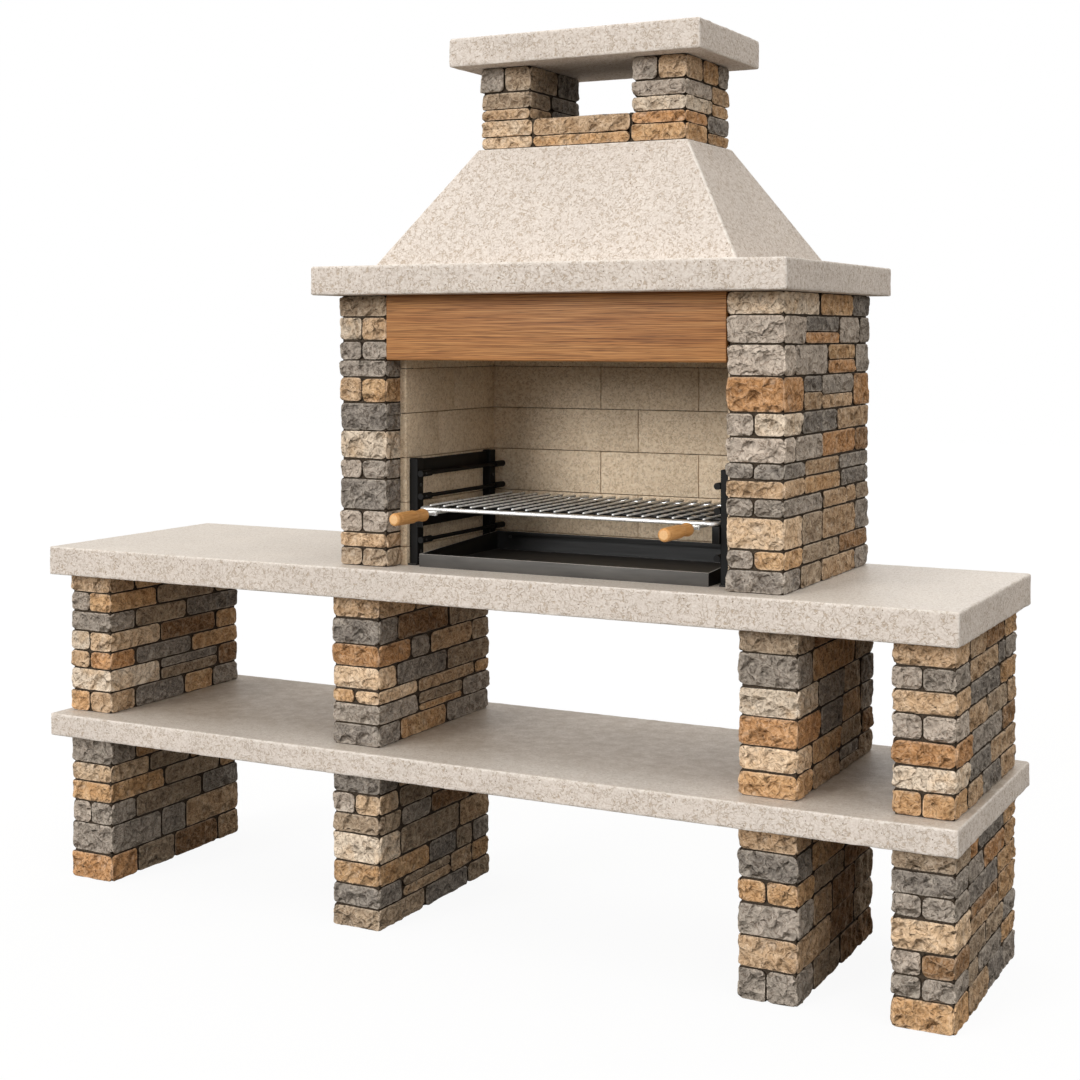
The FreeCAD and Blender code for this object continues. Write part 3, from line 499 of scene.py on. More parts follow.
# %% Geometry tree: worn block
WORN_INPUTS = ("Edge Radius", "Edge Change", "Outline Radius", "Outline Wander", "Pillow Height",
               "Swell Depth", "Flake Size", "Flake Depth", "Facet Size", "Facet Depth", "Seed")
WANDER_SCALE = 28.0
FLAT_LIMITS = (0.74, 0.995)
RIM_REACH = (5 * MILLIMETRE, 1.5 * MILLIMETRE)
ARRIS_RELIEF = 0.12


def worn_block_tree():
    graph, given, end = new_geometry_tree("worn_block", WORN_INPUTS)
    place = graph.node("GeometryNodeInputPosition").outputs[0]
    centre = graph.stored("block_centre", "FLOAT_VECTOR")
    half = graph.stored("block_half", "FLOAT_VECTOR")
    seed = graph.plus(graph.stored("block_seed"), given["Seed"])
    spot = stone_spot(graph, place, seed)
    wander = graph.range(graph.noise(spot, WANDER_SCALE), *MIDDLE_NOISE, -1.0, 1.0)
    local = graph.vector("SUBTRACT", place, centre)
    to_edge, to_end = edge_ways(graph, local, half)
    small_half = shrunk_half(graph, given, spot, half, wander, to_end)
    shrunk = graph.vector("MULTIPLY", local, graph.vector("DIVIDE", small_half, half))
    rounded, outward = rounded_edges(graph, given, shrunk, small_half, wander)

    # How squarely a point lies on a face: 1 on the flat, 0 on the arris
    parts = graph.parts(graph.vector("ABSOLUTE", outward))
    largest = graph.larger(graph.larger(parts["X"], parts["Y"]), parts["Z"])
    flat = graph.range(largest, *FLAT_LIMITS)
    rim = graph.range(to_edge, *RIM_REACH)

    # The relief is full on the flat of a side that shows, faint on the arris and none elsewhere
    relief = face_relief(graph, given, spot, to_edge)
    height = graph.times(relief, graph.range(flat, 0.0, 1.0, ARRIS_RELIEF, 1.0))
    height = graph.times(height, graph.stored("block_shown"))
    shaped = graph.vector("ADD", rounded, graph.vector("MULTIPLY", outward, height))

    # Lean the block, and set it back on its centre
    slope = graph.vector("DOT_PRODUCT", local, graph.stored("block_tilt", "FLOAT_VECTOR"))
    shaped = graph.vector("ADD", shaped, graph.node("ShaderNodeCombineXYZ", {2: slope}).outputs[0])
    moved = graph.node("GeometryNodeSetPosition",
                       {"Geometry": given["Geometry"], "Position": graph.vector("ADD", centre, shaped)})

    # Keep what the finishes need
    kept = moved.outputs[0]
    for name, value, kind in (
        ("edge_wear_and_highlight", graph.larger(graph.minus(1.0, flat), rim), "FLOAT"),
        ("block_spot", spot, "FLOAT_VECTOR"),
    ):
        sockets = {"Geometry": kept, "Name": name, "Value": value}
        made = graph.node("GeometryNodeStoreNamedAttribute", sockets, data_type=kind, domain="POINT")
        kept = made.outputs[0]
    smooth = graph.node("GeometryNodeSetShadeSmooth", {"Geometry": kept}).outputs[0]
    finish_tree(graph, smooth, given["Material"], end)
    return graph.tree


WORN_BLOCK = worn_block_tree()
print("worn block tree:", len(WORN_BLOCK.nodes), "nodes")

# %% [markdown]
# ## Split stone
# The stones are one kind of sandstone in many shades, from slate grey to cream and orange.
# A material for each shade would repeat the same nodes ten times, so one material reads two
# colours that each stone carries: its main tint and the vein that clouds it.
# The flakes and facets are drawn again here, finer than the mesh can hold: their crests are
# painted pale as a painted highlight, the edges of the stone are rubbed pale, partly as a painted
# highlight, and the creases and the feet of the facets are painted darker as painted shade.
# The ends that a stone hides in its joints are smeared with mortar and stay dark.

# %% Split stone finish
FLAKE_SIZE = 38 * MILLIMETRE
FACET_SIZE = 32 * MILLIMETRE
CHIP_SIZE = 12 * MILLIMETRE


def split_stone_finish():
    stone = Finish("split_stone_face", Roughness=0.9, Specular_IOR_Level=0.12)
    tint = stone.attribute("stone_tint", "Color")
    vein = stone.attribute("stone_vein", "Color")
    spot = stone.attribute("block_spot", "Vector")
    clouds = stone.noise(spot, 15.0, detail=4.0, roughness=0.6, distortion=0.9)
    body = stone.mix(stone.range(clouds, 0.45, 0.66), tint, vein)
    mottle = stone.noise(spot, 60.0, detail=4.0, roughness=0.6)
    body = stone.shaded(body, mottle, (0.3, 0.86), (0.5, 1.0), (0.7, 1.1))
    height, across = flakes(stone, spot, FLAKE_SIZE)
    plane, to_ridge = facets(stone, spot, FACET_SIZE)
    chip, _ = facets(stone, spot, CHIP_SIZE)
    patches = stone.noise(spot, 70.0, detail=2.0)
    # Painted shade: the feet of the facets are darker, and their tops a little lighter
    body = stone.shaded(body, plane, (0.1, 0.78), (0.7, 1.08))
    # Painted shade: the creases between the flakes are darker
    crease_shade = stone.range(across, 0.75, 0.97, 0.0, 0.7)
    body = stone.mix(crease_shade, body, stone.multiplied(body, paint(150, 134, 118)))
    # Painted highlight: the crests of the flakes and facets are paler
    crest = stone.times(stone.range(across, 0.15, 0.3), stone.range(across, 0.5, 0.35))
    fine_crest = stone.times(stone.range(to_ridge, 0.1, 0.02), stone.range(patches, 0.38, 0.58))
    crest_highlight = stone.larger(stone.times(crest, 0.5), fine_crest)
    # The edges of the stone are paler: rubbed wear, partly a painted highlight
    rim = stone.times(stone.attribute("edge_wear_and_highlight"), stone.range(patches, 0.3, 0.55, 0.7, 1.2))
    pale = stone.mix(0.32, stone.multiplied(body, grey(1.5)), paint(232, 220, 203))
    body = stone.mix(stone.times(stone.larger(crest_highlight, rim), 0.7), body, pale)
    smear = stone.range(stone.attribute("block_shown"), 0.1, 0.8)
    body = stone.mix(smear, paint(74, 62, 50), body)
    stone.colour(body)
    grains = stone.noise(spot, 240.0, detail=3.0, roughness=0.6)
    stone.bumps((height, 7 * MILLIMETRE, 1.0), (plane, 13 * MILLIMETRE, 1.0),
                (chip, 3.5 * MILLIMETRE, 0.8), (grains, 1 * MILLIMETRE, 0.4))
    return stone


SPLIT_STONE = split_stone_finish()
print("split stone:", len(SPLIT_STONE.tree.nodes), "nodes")

# %% [markdown]
# ## Which stone goes where
# The shades of the stones that show were noted block by block, each course from
# the ground up.  A course lists its front stone or pair, then the side stones to the back.
# The back wall is hidden from the front, so its shades are drawn by a fixed seed.

# %% Shades of the stones
SHADES = {
    "slate": (paint(128, 120, 112), paint(158, 149, 139)),
    "grey": (paint(150, 140, 129), paint(172, 160, 148)),
    "ash": (paint(180, 166, 152), paint(194, 181, 167)),
    "taupe": (paint(163, 142, 119), paint(181, 160, 135)),
    "tan": (paint(185, 153, 119), paint(201, 172, 140)),
    "sand": (paint(217, 185, 149), paint(223, 198, 169)),
    "cream": (paint(213, 196, 175), paint(205, 179, 149)),
    "ochre": (paint(191, 150, 107), paint(206, 170, 129)),
    "orange": (paint(182, 135, 91), paint(196, 150, 106)),
    "brown": (paint(141, 107, 74), paint(160, 125, 91)),
}
print("shades:", len(SHADES))

# %% Courses of the stones
COURSE_SHADES = {
    "pier_1_lower": (
        "orange taupe brown tan", "grey grey tan", "ash grey taupe slate",
        "ochre taupe ochre", "sand taupe ochre", "grey ochre taupe"),
    "pier_1_upper": (
        "ochre tan slate ochre grey", "cream taupe/slate brown", "tan orange slate ochre",
        "cream sand brown ochre", "grey taupe slate", "ash ochre taupe taupe", "tan ochre brown"),
    "pier_2_lower": (
        "taupe slate taupe", "slate tan/taupe tan ochre", "ochre slate taupe grey", "cream taupe tan",
        "taupe grey brown taupe", "ash sand taupe tan grey", "slate tan ochre"),
    "pier_2_upper": (
        "slate ochre grey", "grey ochre/taupe grey", "ochre sand tan ochre", "sand slate taupe",
        "orange grey tan taupe", "slate brown taupe", "tan tan ochre"),
    "pier_3_lower": (
        "grey grey taupe brown brown", "tan brown taupe", "grey tan brown taupe",
        "ochre ochre taupe brown", "slate ochre taupe", "tan brown taupe"),
    "pier_3_upper": (
        "ochre tan taupe/slate taupe", "sand ochre taupe brown", "orange slate tan grey",
        "cream grey taupe slate", "grey ochre taupe", "taupe brown taupe"),
    "pier_4_lower": (
        "ochre tan slate grey", "grey grey taupe grey ochre", "ash brown taupe taupe slate",
        "sand tan/brown ochre", "grey grey slate ochre", "slate grey orange ochre",
        "taupe orange slate ochre"),
    "pier_4_upper": (
        "ochre ochre tan slate tan", "cream slate tan", "orange grey brown", "ash ash tan taupe tan",
        "tan slate ochre", "ash grey tan slate grey", "tan tan brown ochre"),
    "firebox_left": (
        "taupe taupe grey taupe", "tan slate tan grey", "ash ash ochre grey", "slate tan taupe ochre",
        "ash grey tan slate", "cream taupe ochre", "slate ochre grey tan", "tan ochre taupe brown",
        "grey tan grey", "grey grey ochre taupe", "cream tan grey tan slate", "taupe tan ochre"),
    "firebox_right": (
        "slate taupe tan grey", "grey ochre taupe brown", "sand taupe tan grey",
        "grey grey tan tan taupe", "tan ochre slate", "slate slate tan slate", "ash ash orange brown",
        "ash cream slate tan", "orange tan/slate tan/grey orange", "ash ash orange/ochre grey",
        "ash orange/slate ash grey", "cream ochre slate"),
    "chimney_ring": ("sand/sand ochre/tan ochre/orange taupe ochre/slate tan",),
    "chimney_left": ("tan/taupe slate/grey", "grey taupe slate"),
    "chimney_right": ("cream/ash ochre/tan", "grey tan ochre grey"),
}

STONE_BLOCKS = [name[:-len("_stones")] for name in sorted(nodes) if name.endswith("_stones")]
SHADE_DRAW = random.Random(7)


def shades_of(block, count):
    """Shade of each stone of a block, in the order of its solids."""
    if block in COURSE_SHADES:
        words = " ".join(COURSE_SHADES[block]).split()
        assert len(words) == count, (block, len(words), count)
        return words
    return [SHADE_DRAW.choice(sorted(SHADES)) for _ in range(count)]


print("stone blocks:", len(STONE_BLOCKS))

# %% [markdown]
# ## Laying the stones
# Each stone keeps the place of its solid.  On the faces that show it stands back by a few
# millimetres, more or less, and leans a little, because no mason sets them in one plane.  In
# the joints it grows, so that the joints are as narrow as on the real walls.  Two shades with
# a stroke between them are a thin stone laid on another, the lower one first.  Stones that show
# only at the side of a wall are painted a little darker, as painted shade for those shaded sides.
# A block's stones become one mesh, so a pier moves as one piece.

# %% Stones
STONE_CELL = 5.7 * MILLIMETRE
HIDDEN_CELL = 40 * MILLIMETRE
STONE_RIM = (2.5 * MILLIMETRE, 7 * MILLIMETRE)
JOINT_GROWTH = (3.1 * MILLIMETRE, 0.8 * MILLIMETRE)
BED_GROWTH = 2.7 * MILLIMETRE
THIN_BED = 0.6 * MILLIMETRE
MOST_TILT = 2 * MILLIMETRE
FRONT_TILT_SHARE = 0.5
THIN_SHARE = (0.38, 0.6)
SLAB_GAP = 1 * MILLIMETRE
STAND_BACK = 2.5 * MILLIMETRE
SAME_PLANE = 0.5 * MILLIMETRE
# Stones that show only at the side are painted darker by this share, as painted shade
PAINTED_SIDE_SHADE = 0.83
STONE_LIFT = (0.88, 1.12)
SEED_SPAN = 90
STONE_WEAR = {
    "Edge Radius": 2.8 * MILLIMETRE, "Edge Change": 0.4, "Outline Radius": 12 * MILLIMETRE,
    "Outline Wander": 1.0 * MILLIMETRE, "Pillow Height": 1.8 * MILLIMETRE, "Swell Depth": 2 * MILLIMETRE,
    "Flake Size": FLAKE_SIZE, "Flake Depth": 4 * MILLIMETRE, "Facet Size": FACET_SIZE,
    "Facet Depth": 7 * MILLIMETRE, "Seed": 3.0, "Material": SPLIT_STONE.material,
}
STONE_DRAW = random.Random(23)


def laid_stone(box, block_low, block_high, mortar_low, mortar_high):
    """A stone's box after growth and stand-back, and the cell and showing of its four sides."""
    low, high = box[0].copy(), box[1].copy()
    sides = {}
    for axis in range(2):
        for corner, limit, sign in ((low, block_low, 1), (high, block_high, -1)):
            shows = abs(corner[axis] - limit[axis]) < SAME_PLANE
            corner[axis] += sign * (STONE_DRAW.uniform(0, STAND_BACK) if shows else -JOINT_GROWTH[axis])
            sides[axis, sign] = (STONE_CELL, 1) if shows else (HIDDEN_CELL, 0)
    lowest, highest = low[2] - block_low[2] < SAME_PLANE, block_high[2] - high[2] < SAME_PLANE
    low[2] = min(low[2], mortar_low[2] + SLAB_GAP) if lowest else low[2] - BED_GROWTH
    high[2] = max(high[2], mortar_high[2] - SLAB_GAP) if highest else high[2] + BED_GROWTH
    lean = 0.0 if lowest or highest else STONE_DRAW.uniform(-MOST_TILT, MOST_TILT)
    tilt = (FRONT_TILT_SHARE * lean / (high[0] - low[0]), lean / (high[1] - low[1]), 0.0)
    return low, high, (sides[1, 1], sides[0, -1], sides[1, -1], sides[0, 1]), tilt


def stacked(low, high, sides, tilt, shades):
    """One stone for each shade, the lower one first, laid in the place of one stone."""
    spans = [(low[2], high[2])]
    if len(shades) > 1:
        split = low[2] + (high[2] - low[2]) * STONE_DRAW.uniform(*THIN_SHARE)
        spans = [(low[2], split - THIN_BED / 2), (split + THIN_BED / 2, high[2])]
    for (base, top), shade in zip(spans, shades):
        yield (*low[:2], base), (*high[:2], top), sides, tilt, STONE_DRAW.uniform(0, SEED_SPAN), shade


def stone_colours(shade, side_shade):
    """Tint and vein of one stone, a little lighter or darker than its shade, and painted darker by the
    side shade where it shows only at the side.
    """
    tint, vein = SHADES[shade]
    lift = side_shade * STONE_DRAW.uniform(*STONE_LIFT)
    return [[channel * lift for channel in colour[:3]] + [1.0] for colour in (tint, vein)]


# %% Lay the blocks
def lay_block(block):
    """Lay one block's stones as one piece; returns how many they are, and their triangles."""
    node = block + "_stones"
    boxes = solid_boxes(node)
    limits = [np.array(corner) for name in (node, block + "_mortar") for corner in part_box(name)]
    stones = []
    for box, shades in zip(boxes, shades_of(block, len(boxes))):
        stones.extend(stacked(*laid_stone(box, *limits), shades.split("/")))
    rough, counts = block_mesh(node + "_rough", [stone[:5] for stone in stones], STONE_CELL, STONE_RIM)
    colours = []
    for _, _, sides, _, _, shade in stones:
        # Stones that don't show at the front get the painted side shade
        front_shows = sides[0][1] or block not in COURSE_SHADES
        colours.append(stone_colours(shade, 1.0 if front_shows else PAINTED_SIDE_SHADE))
    for part, name in enumerate(("stone_tint", "stone_vein")):
        values = [np.tile(pair[part], (count, 1)) for pair, count in zip(colours, counts)]
        set_attribute(rough, name, np.concatenate(values))
    mesh = grown(rough, WORN_BLOCK, STONE_WEAR)
    add_piece(block + "_stonework", mesh, "masonry", "split_stone", node)
    return len(stones), sum(len(face.vertices) - 2 for face in mesh.polygons)


laid = [lay_block(block) for block in STONE_BLOCKS]
print("stones:", sum(count for count, _ in laid), "triangles:", sum(faces for _, faces in laid),
      "most in a block:", max(faces for _, faces in laid))

# %% [markdown]
# ## Mortar
# Mortar fills the core of each wall and shows only as a dark line deep in the joints.
# Its solids are right as they are, so they stay, and get a sandy, dark finish.

# %% Mortar finish
def mortar_finish():
    mortar = Finish("joint_mortar", Roughness=0.97, Specular_IOR_Level=0.1)
    sand = mortar.noise(mortar.place, 300.0, detail=4.0, roughness=0.7)
    mortar.colour(mortar.ramp(sand, (0.3, paint(54, 46, 38)), (0.55, paint(76, 66, 56)),
                              (0.75, paint(100, 88, 75))))
    mortar.bumps((sand, 1.5 * MILLIMETRE, 0.9))
    return mortar


MORTAR = mortar_finish()
for block in STONE_BLOCKS:
    dress(block + "_mortar", MORTAR)
print("mortar:", len(STONE_BLOCKS), "blocks")

# %% [markdown]
# ## Cast stone
# The slabs, mantle, hood and cap are cast from white cement and crushed stone.  Their sides
# show a fine grain with wormy grooves and small brown pits, and their tops are honed smooth.
# A groove follows the line where a noise crosses its middle value, which winds as worms do.
# One material serves all faces: the grain fades where a face looks straight up.  The shelf lies
# under the worktop, so its top is darkened in patches, as dust and painted shade, least along the front.

# %% Cast stone finish
SHELF_SHADE_LEVELS = (0.6, 0.8)
UNSHADED_FRONT_REACH = (0.06, 0.2)


def winding_grooves(finish, scale, width):
    """Thin winding lines, broken here and there: 1 in a groove, 0 beside it."""
    winding = finish.noise(finish.place, scale, detail=1.5, distortion=0.7)
    off_line = finish.math("ABSOLUTE", finish.minus(winding, 0.5))
    broken = finish.range(finish.noise(finish.place, scale * 0.8), 0.4, 0.5)
    return finish.times(finish.range(off_line, width * 0.4, width, 1.0, 0.0), broken)


def scattered_specks(finish, scale, share):
    """Small round specks in some of the Voronoi cells: 1 in a speck, 0 beside it."""
    cells = finish.cells(finish.place, scale)
    chosen = finish.node("ShaderNodeSeparateColor", {0: cells.outputs["Color"]}).outputs[0]
    picked = finish.math("LESS_THAN", chosen, share)
    return finish.times(finish.range(cells.outputs["Distance"], 0.1, 0.22, 1.0, 0.0), picked)


def cast_stone_finish():
    cast = Finish("cast_stone_grain", Specular_IOR_Level=0.25)
    place = cast.place
    honed = cast.facing("Z", 0.86, 0.97)
    shows = cast.minus(1.0, cast.times(honed, 0.45))
    grain = cast.noise(place, 190.0, detail=3.0, roughness=0.6)
    rough_colour = cast.ramp(grain, (0.3, paint(203, 191, 179)), (0.5, paint(218, 207, 197)),
                             (0.7, paint(229, 221, 212)))
    honed_colour = cast.ramp(grain, (0.3, paint(207, 196, 184)), (0.7, paint(231, 223, 213)))
    body = cast.mix(honed, rough_colour, honed_colour)
    grooves = cast.times(winding_grooves(cast, 98.0, 0.045), shows)
    body = cast.mix(cast.times(grooves, 0.65), body, paint(172, 151, 127))
    specks = cast.times(scattered_specks(cast, 120.0, 0.12), shows)
    body = cast.mix(cast.times(specks, 0.85), body, paint(104, 79, 55))
    clouds = cast.noise(place, 5.0, detail=3.0)
    body = cast.shaded(body, clouds, (0.3, 0.95), (0.7, 1.03))
    spot = cast.parts(place)
    # Painted shade of the worktop on the shelf's top, in dusty patches, fading towards the front edge
    shelf_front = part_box("shelf_slab")[0][1]
    unshaded_front = [shelf_front + reach for reach in UNSHADED_FRONT_REACH]
    low_down = cast.range(spot["Z"], *SHELF_SHADE_LEVELS, 1.0, 0.0)
    shelf_shade = cast.times(low_down, cast.range(spot["Y"], *unshaded_front, 0.2, 1.0))
    patches = cast.noise(place, 26.0, detail=5.0, roughness=0.65)
    dust_and_shade = cast.times(cast.times(honed, shelf_shade), cast.range(patches, 0.36, 0.64, 0.35, 0.7))
    body = cast.mix(dust_and_shade, body, paint(160, 141, 119))
    # The edges are paler: rubbed wear, partly a painted highlight
    rubbed = cast.noise(place, 60.0, detail=3.0)
    edge = cast.times(cast.attribute("edge_wear_and_highlight"), cast.range(rubbed, 0.35, 0.6, 0.1, 0.55))
    body = cast.mix(edge, body, paint(243, 238, 230))
    cast.colour(body)
    cast.rough(cast.range(honed, 0.0, 1.0, 0.9, 0.5))
    sunk = cast.plus(cast.times(grooves, 0.5), cast.times(specks, 0.4))
    relief = cast.minus(cast.times(grain, shows), sunk)
    cast.bumps((relief, 2.5 * MILLIMETRE, 0.7))
    return cast


CAST_STONE = cast_stone_finish()
print("cast stone:", len(CAST_STONE.tree.nodes), "nodes")

# %% [markdown]
# ## Slabs
# A slab is one large worn block.  It takes the same tree as the stones, with a small corner
# radius that wanders along the edge, and hardly any relief on its faces.
# The mantle also has the smoke throat, so its flat top and base are filled round that hole.

# %% Smoke throat
THROAT_MARGIN = 60 * MILLIMETRE
FLAT_CAP_CORNERS = 8


def throat_box():
    """The smoke throat, read from the mantle's inner corners."""
    low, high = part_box("mantle_slab")
    inner = [vertex.co for vertex in nodes["mantle_slab"].data.vertices
             if low.x + THROAT_MARGIN < vertex.co.x < high.x - THROAT_MARGIN
             and low.y + THROAT_MARGIN < vertex.co.y < high.y - THROAT_MARGIN]
    return np.min(inner, axis=0), np.max(inner, axis=0)


def cut_throat(mesh):
    """Open the throat through a slab's flat top and base."""
    low, high = throat_box()
    shape = bmesh.new()
    shape.from_mesh(mesh)
    caps = [face for face in shape.faces if len(face.verts) > FLAT_CAP_CORNERS]
    rings = []
    for cap in caps:
        level = cap.verts[0].co.z
        ring = [shape.verts.new((x, y, level)) for x, y in
                ((low[0], low[1]), (high[0], low[1]), (high[0], high[1]), (low[0], high[1]))]
        inner = [shape.edges.new((ring[i], ring[(i + 1) % 4])) for i in range(4)]
        outer = list(cap.edges)
        shape.faces.remove(cap)
        bmesh.ops.triangle_fill(shape, edges=inner + outer, use_beauty=True)
        rings.append(ring)
    base, top = rings
    for i in range(4):
        shape.faces.new((base[i], top[i], top[(i + 1) % 4], base[(i + 1) % 4]))
    bmesh.ops.recalc_face_normals(shape, faces=shape.faces)
    shape.to_mesh(mesh)
    shape.free()


# %% Slabs
SLABS = ("shelf_slab", "worktop_slab", "mantle_slab", "chimney_cap")
SLAB_CELL = 6 * MILLIMETRE
SLAB_RIM = (2 * MILLIMETRE, 5 * MILLIMETRE, 12 * MILLIMETRE)
SLAB_STAND_BACK = 0.8 * MILLIMETRE
SLAB_SEED_STEP = 11.0
SLAB_WEAR = {
    "Edge Radius": 5 * MILLIMETRE, "Edge Change": 0.45, "Outline Radius": 0.0, "Outline Wander": 0.0,
    "Pillow Height": 0.0, "Swell Depth": 0.0, "Flake Size": 50 * MILLIMETRE,
    "Flake Depth": 0.3 * MILLIMETRE, "Facet Size": 14 * MILLIMETRE, "Facet Depth": 0.6 * MILLIMETRE,
    "Seed": 50.0, "Material": CAST_STONE.material,
}

for number, node in enumerate(SLABS):
    low, high = (np.array(corner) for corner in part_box(node))
    low[:2] += SLAB_STAND_BACK
    high[:2] -= SLAB_STAND_BACK
    slab = (low, high, ((SLAB_CELL, 1),) * 4, (0.0, 0.0, 0.0), SLAB_SEED_STEP * number)
    rough, _ = block_mesh(node + "_rough", [slab], SLAB_CELL, SLAB_RIM)
    mesh = grown(rough, WORN_BLOCK, SLAB_WEAR)
    if node == "mantle_slab":
        cut_throat(mesh)
    add_piece(node + "_cast", mesh, "masonry", "cast_stone", node)
    print(node, len(mesh.polygons), "faces")

# %% [markdown]
# ## Softened copies
# Sheet steel, planed timber, tiles and the hood have crisp edges, but no real edge is
# perfectly sharp, and a sharp one catches no light.  A copy of the solid is merged, its flat
# faces are joined, and its edges are bevelled.  The narrow new faces are marked as edges, so that
# a finish can rub its colour off there and, on some finishes, paint a highlight there.

# %% Softened copies
SOFT_WELD = 0.005 * MILLIMETRE
FLAT_ANGLE = math.radians(1.0)


def softened_copy(node, finish, slot, width, body="masonry", sharpest=30.0, segments=2):
    """Put a copy with bevelled edges in the place of a node, and count its faces."""
    shape = bmesh.new()
    shape.from_mesh(nodes[node].data)
    bmesh.ops.remove_doubles(shape, verts=shape.verts, dist=SOFT_WELD)
    bmesh.ops.dissolve_limit(shape, angle_limit=FLAT_ANGLE, verts=shape.verts, edges=shape.edges)
    edge_wear_and_highlight = shape.faces.layers.float.new("edge_wear_and_highlight")
    sharp = [edge for edge in shape.edges
             if len(edge.link_faces) == 2 and edge.calc_face_angle(0.0) > math.radians(sharpest)]
    made = bmesh.ops.bevel(shape, geom=sharp, offset=width, offset_type="OFFSET", segments=segments,
                           profile=0.5, affect="EDGES", clamp_overlap=True)
    for face in made["faces"]:
        face[edge_wear_and_highlight] = 1.0
    mesh = bpy.data.meshes.new(node + "_softened")
    shape.to_mesh(mesh)
    shape.free()
    if "custom_normal" in mesh.attributes:
        mesh.attributes.remove(mesh.attributes["custom_normal"])
    mesh.materials.clear()
    mesh.materials.append(finish.material)
    for polygon in mesh.polygons:
        polygon.material_index = 0
        polygon.use_smooth = True
    mesh.set_sharp_from_angle(angle=math.radians(sharpest))
    add_piece(node + "_finished", mesh, body, slot, node)
    return len(mesh.polygons)


hood_faces = softened_copy("hood", CAST_STONE, "cast_stone", width=5 * MILLIMETRE, sharpest=20.0,
                           segments=3)
print("hood:", hood_faces, "faces")

# %% [markdown]
# ## Fire tiles
# The firebox is lined with cast fire tiles, yellower than the slabs.  They look darker too, but
# only because they stand in shade.  Their joints are thin, so each tile keeps its own edges,
# softened by little more than half a millimetre.

# %% Fire tile finish and lining
def fire_tile_finish():
    tile = Finish("fire_tile_grain", Roughness=0.92, Specular_IOR_Level=0.25)
    place = tile.place
    grain = tile.noise(place, 150.0, detail=3.0, roughness=0.6)
    body = tile.ramp(grain, (0.3, paint(214, 190, 159)), (0.5, paint(228, 207, 179)),
                     (0.7, paint(237, 220, 195)))
    clouds = tile.noise(place, 7.0, detail=3.0)
    body = tile.shaded(body, clouds, (0.3, 0.92), (0.7, 1.04))
    grooves = winding_grooves(tile, 120.0, 0.06)
    body = tile.mix(tile.times(grooves, 0.45), body, paint(158, 130, 99))
    specks = scattered_specks(tile, 110.0, 0.18)
    body = tile.mix(tile.times(specks, 0.35), body, paint(126, 99, 71))
    tile.colour(body)
    sunk = tile.plus(tile.times(grooves, 0.5), tile.times(specks, 0.4))
    tile.bumps((tile.minus(grain, sunk), 2.5 * MILLIMETRE, 0.55))
    return tile


FIRE_TILE = fire_tile_finish()
for node in ("lining_left", "lining_right", "lining_back"):
    print(node, softened_copy(node, FIRE_TILE, "fire_tile", width=0.6 * MILLIMETRE), "faces")

# %% [markdown]
# ## Timber beam
# A planed beam closes the top of the firebox.  Its grain runs along its length, so the
# coordinates are squeezed along X before the noise is read: streaks come out long and thin.

# %% Beam finish
def beam_finish():
    beam = Finish("beam_grain", Specular_IOR_Level=0.35)
    along = beam.stretched(1.3, 34.0, 40.0)
    wander = beam.noise(along, 1.0, detail=4.0, roughness=0.6, distortion=1.0)
    streaks = beam.noise(beam.stretched(5.0, 260.0, 320.0), 1.0, detail=4.0, roughness=0.65)
    body = beam.ramp(wander, (0.28, paint(148, 96, 50)), (0.45, paint(183, 127, 73)),
                     (0.58, paint(193, 139, 84)), (0.75, paint(169, 115, 65)))
    tones = beam.ramp(streaks, (0.33, paint(190, 174, 160)), (0.5, paint(240, 234, 228)),
                      (0.7, grey(1.0)))
    body = beam.multiplied(body, tones)
    waves = {"Vector": beam.stretched(4.0, 64.0, 64.0), "Scale": 1.0, "Distortion": 12.0, "Detail": 3.0,
             "Detail Scale": 0.8, "Detail Roughness": 0.6}
    lines = beam.node("ShaderNodeTexWave", waves, bands_direction="Z").outputs["Fac"]
    body = beam.shaded(body, lines, (0.0, 0.6), (0.2, 0.93), (1.0, 1.07))
    pores = beam.noise(beam.stretched(9.0, 520.0, 640.0), 1.0, detail=2.0)
    body = beam.mix(beam.range(pores, 0.43, 0.33, 0.0, 0.62), body, paint(88, 54, 30))
    beam.colour(body)
    beam.rough(beam.range(streaks, 0.3, 0.7, 0.62, 0.48))
    beam.bumps((streaks, 1.0 * MILLIMETRE, 0.4), (pores, 0.4 * MILLIMETRE, 0.4))
    return beam


BEAM_WOOD = beam_finish()
print("beam:", softened_copy("timber_beam", BEAM_WOOD, "beam_wood", width=1.2 * MILLIMETRE), "faces")

# %% [markdown]
# ## Black steel
# The posts, plates, rails and runners are painted satin black.  Paint is even in colour,
# so the life is in its gloss: a fine orange-peel bump, a little dust that dulls it, and edges
# where the paint is rubbed thin.

# %% Black steel finish and supports
def black_steel_finish():
    steel = Finish("black_paint", Metallic=0.0, Specular_IOR_Level=0.16)
    dust_and_shade = steel.noise(steel.place, 26.0, detail=4.0, roughness=0.6)
    body = steel.ramp(dust_and_shade, (0.35, paint(8, 7, 6)), (0.6, paint(12, 11, 10)), (0.8, paint(20, 18, 16)))
    rubbed = steel.times(steel.attribute("edge_wear_and_highlight"), steel.range(dust_and_shade, 0.4, 0.6, 0.2, 0.8))
    steel.colour(steel.mix(rubbed, body, paint(84, 81, 77)))
    steel.rough(steel.range(dust_and_shade, 0.3, 0.7, 0.48, 0.62))
    peel = steel.noise(steel.place, 700.0, detail=1.0)
    steel.bumps((peel, 0.15 * MILLIMETRE, 0.4))
    return steel


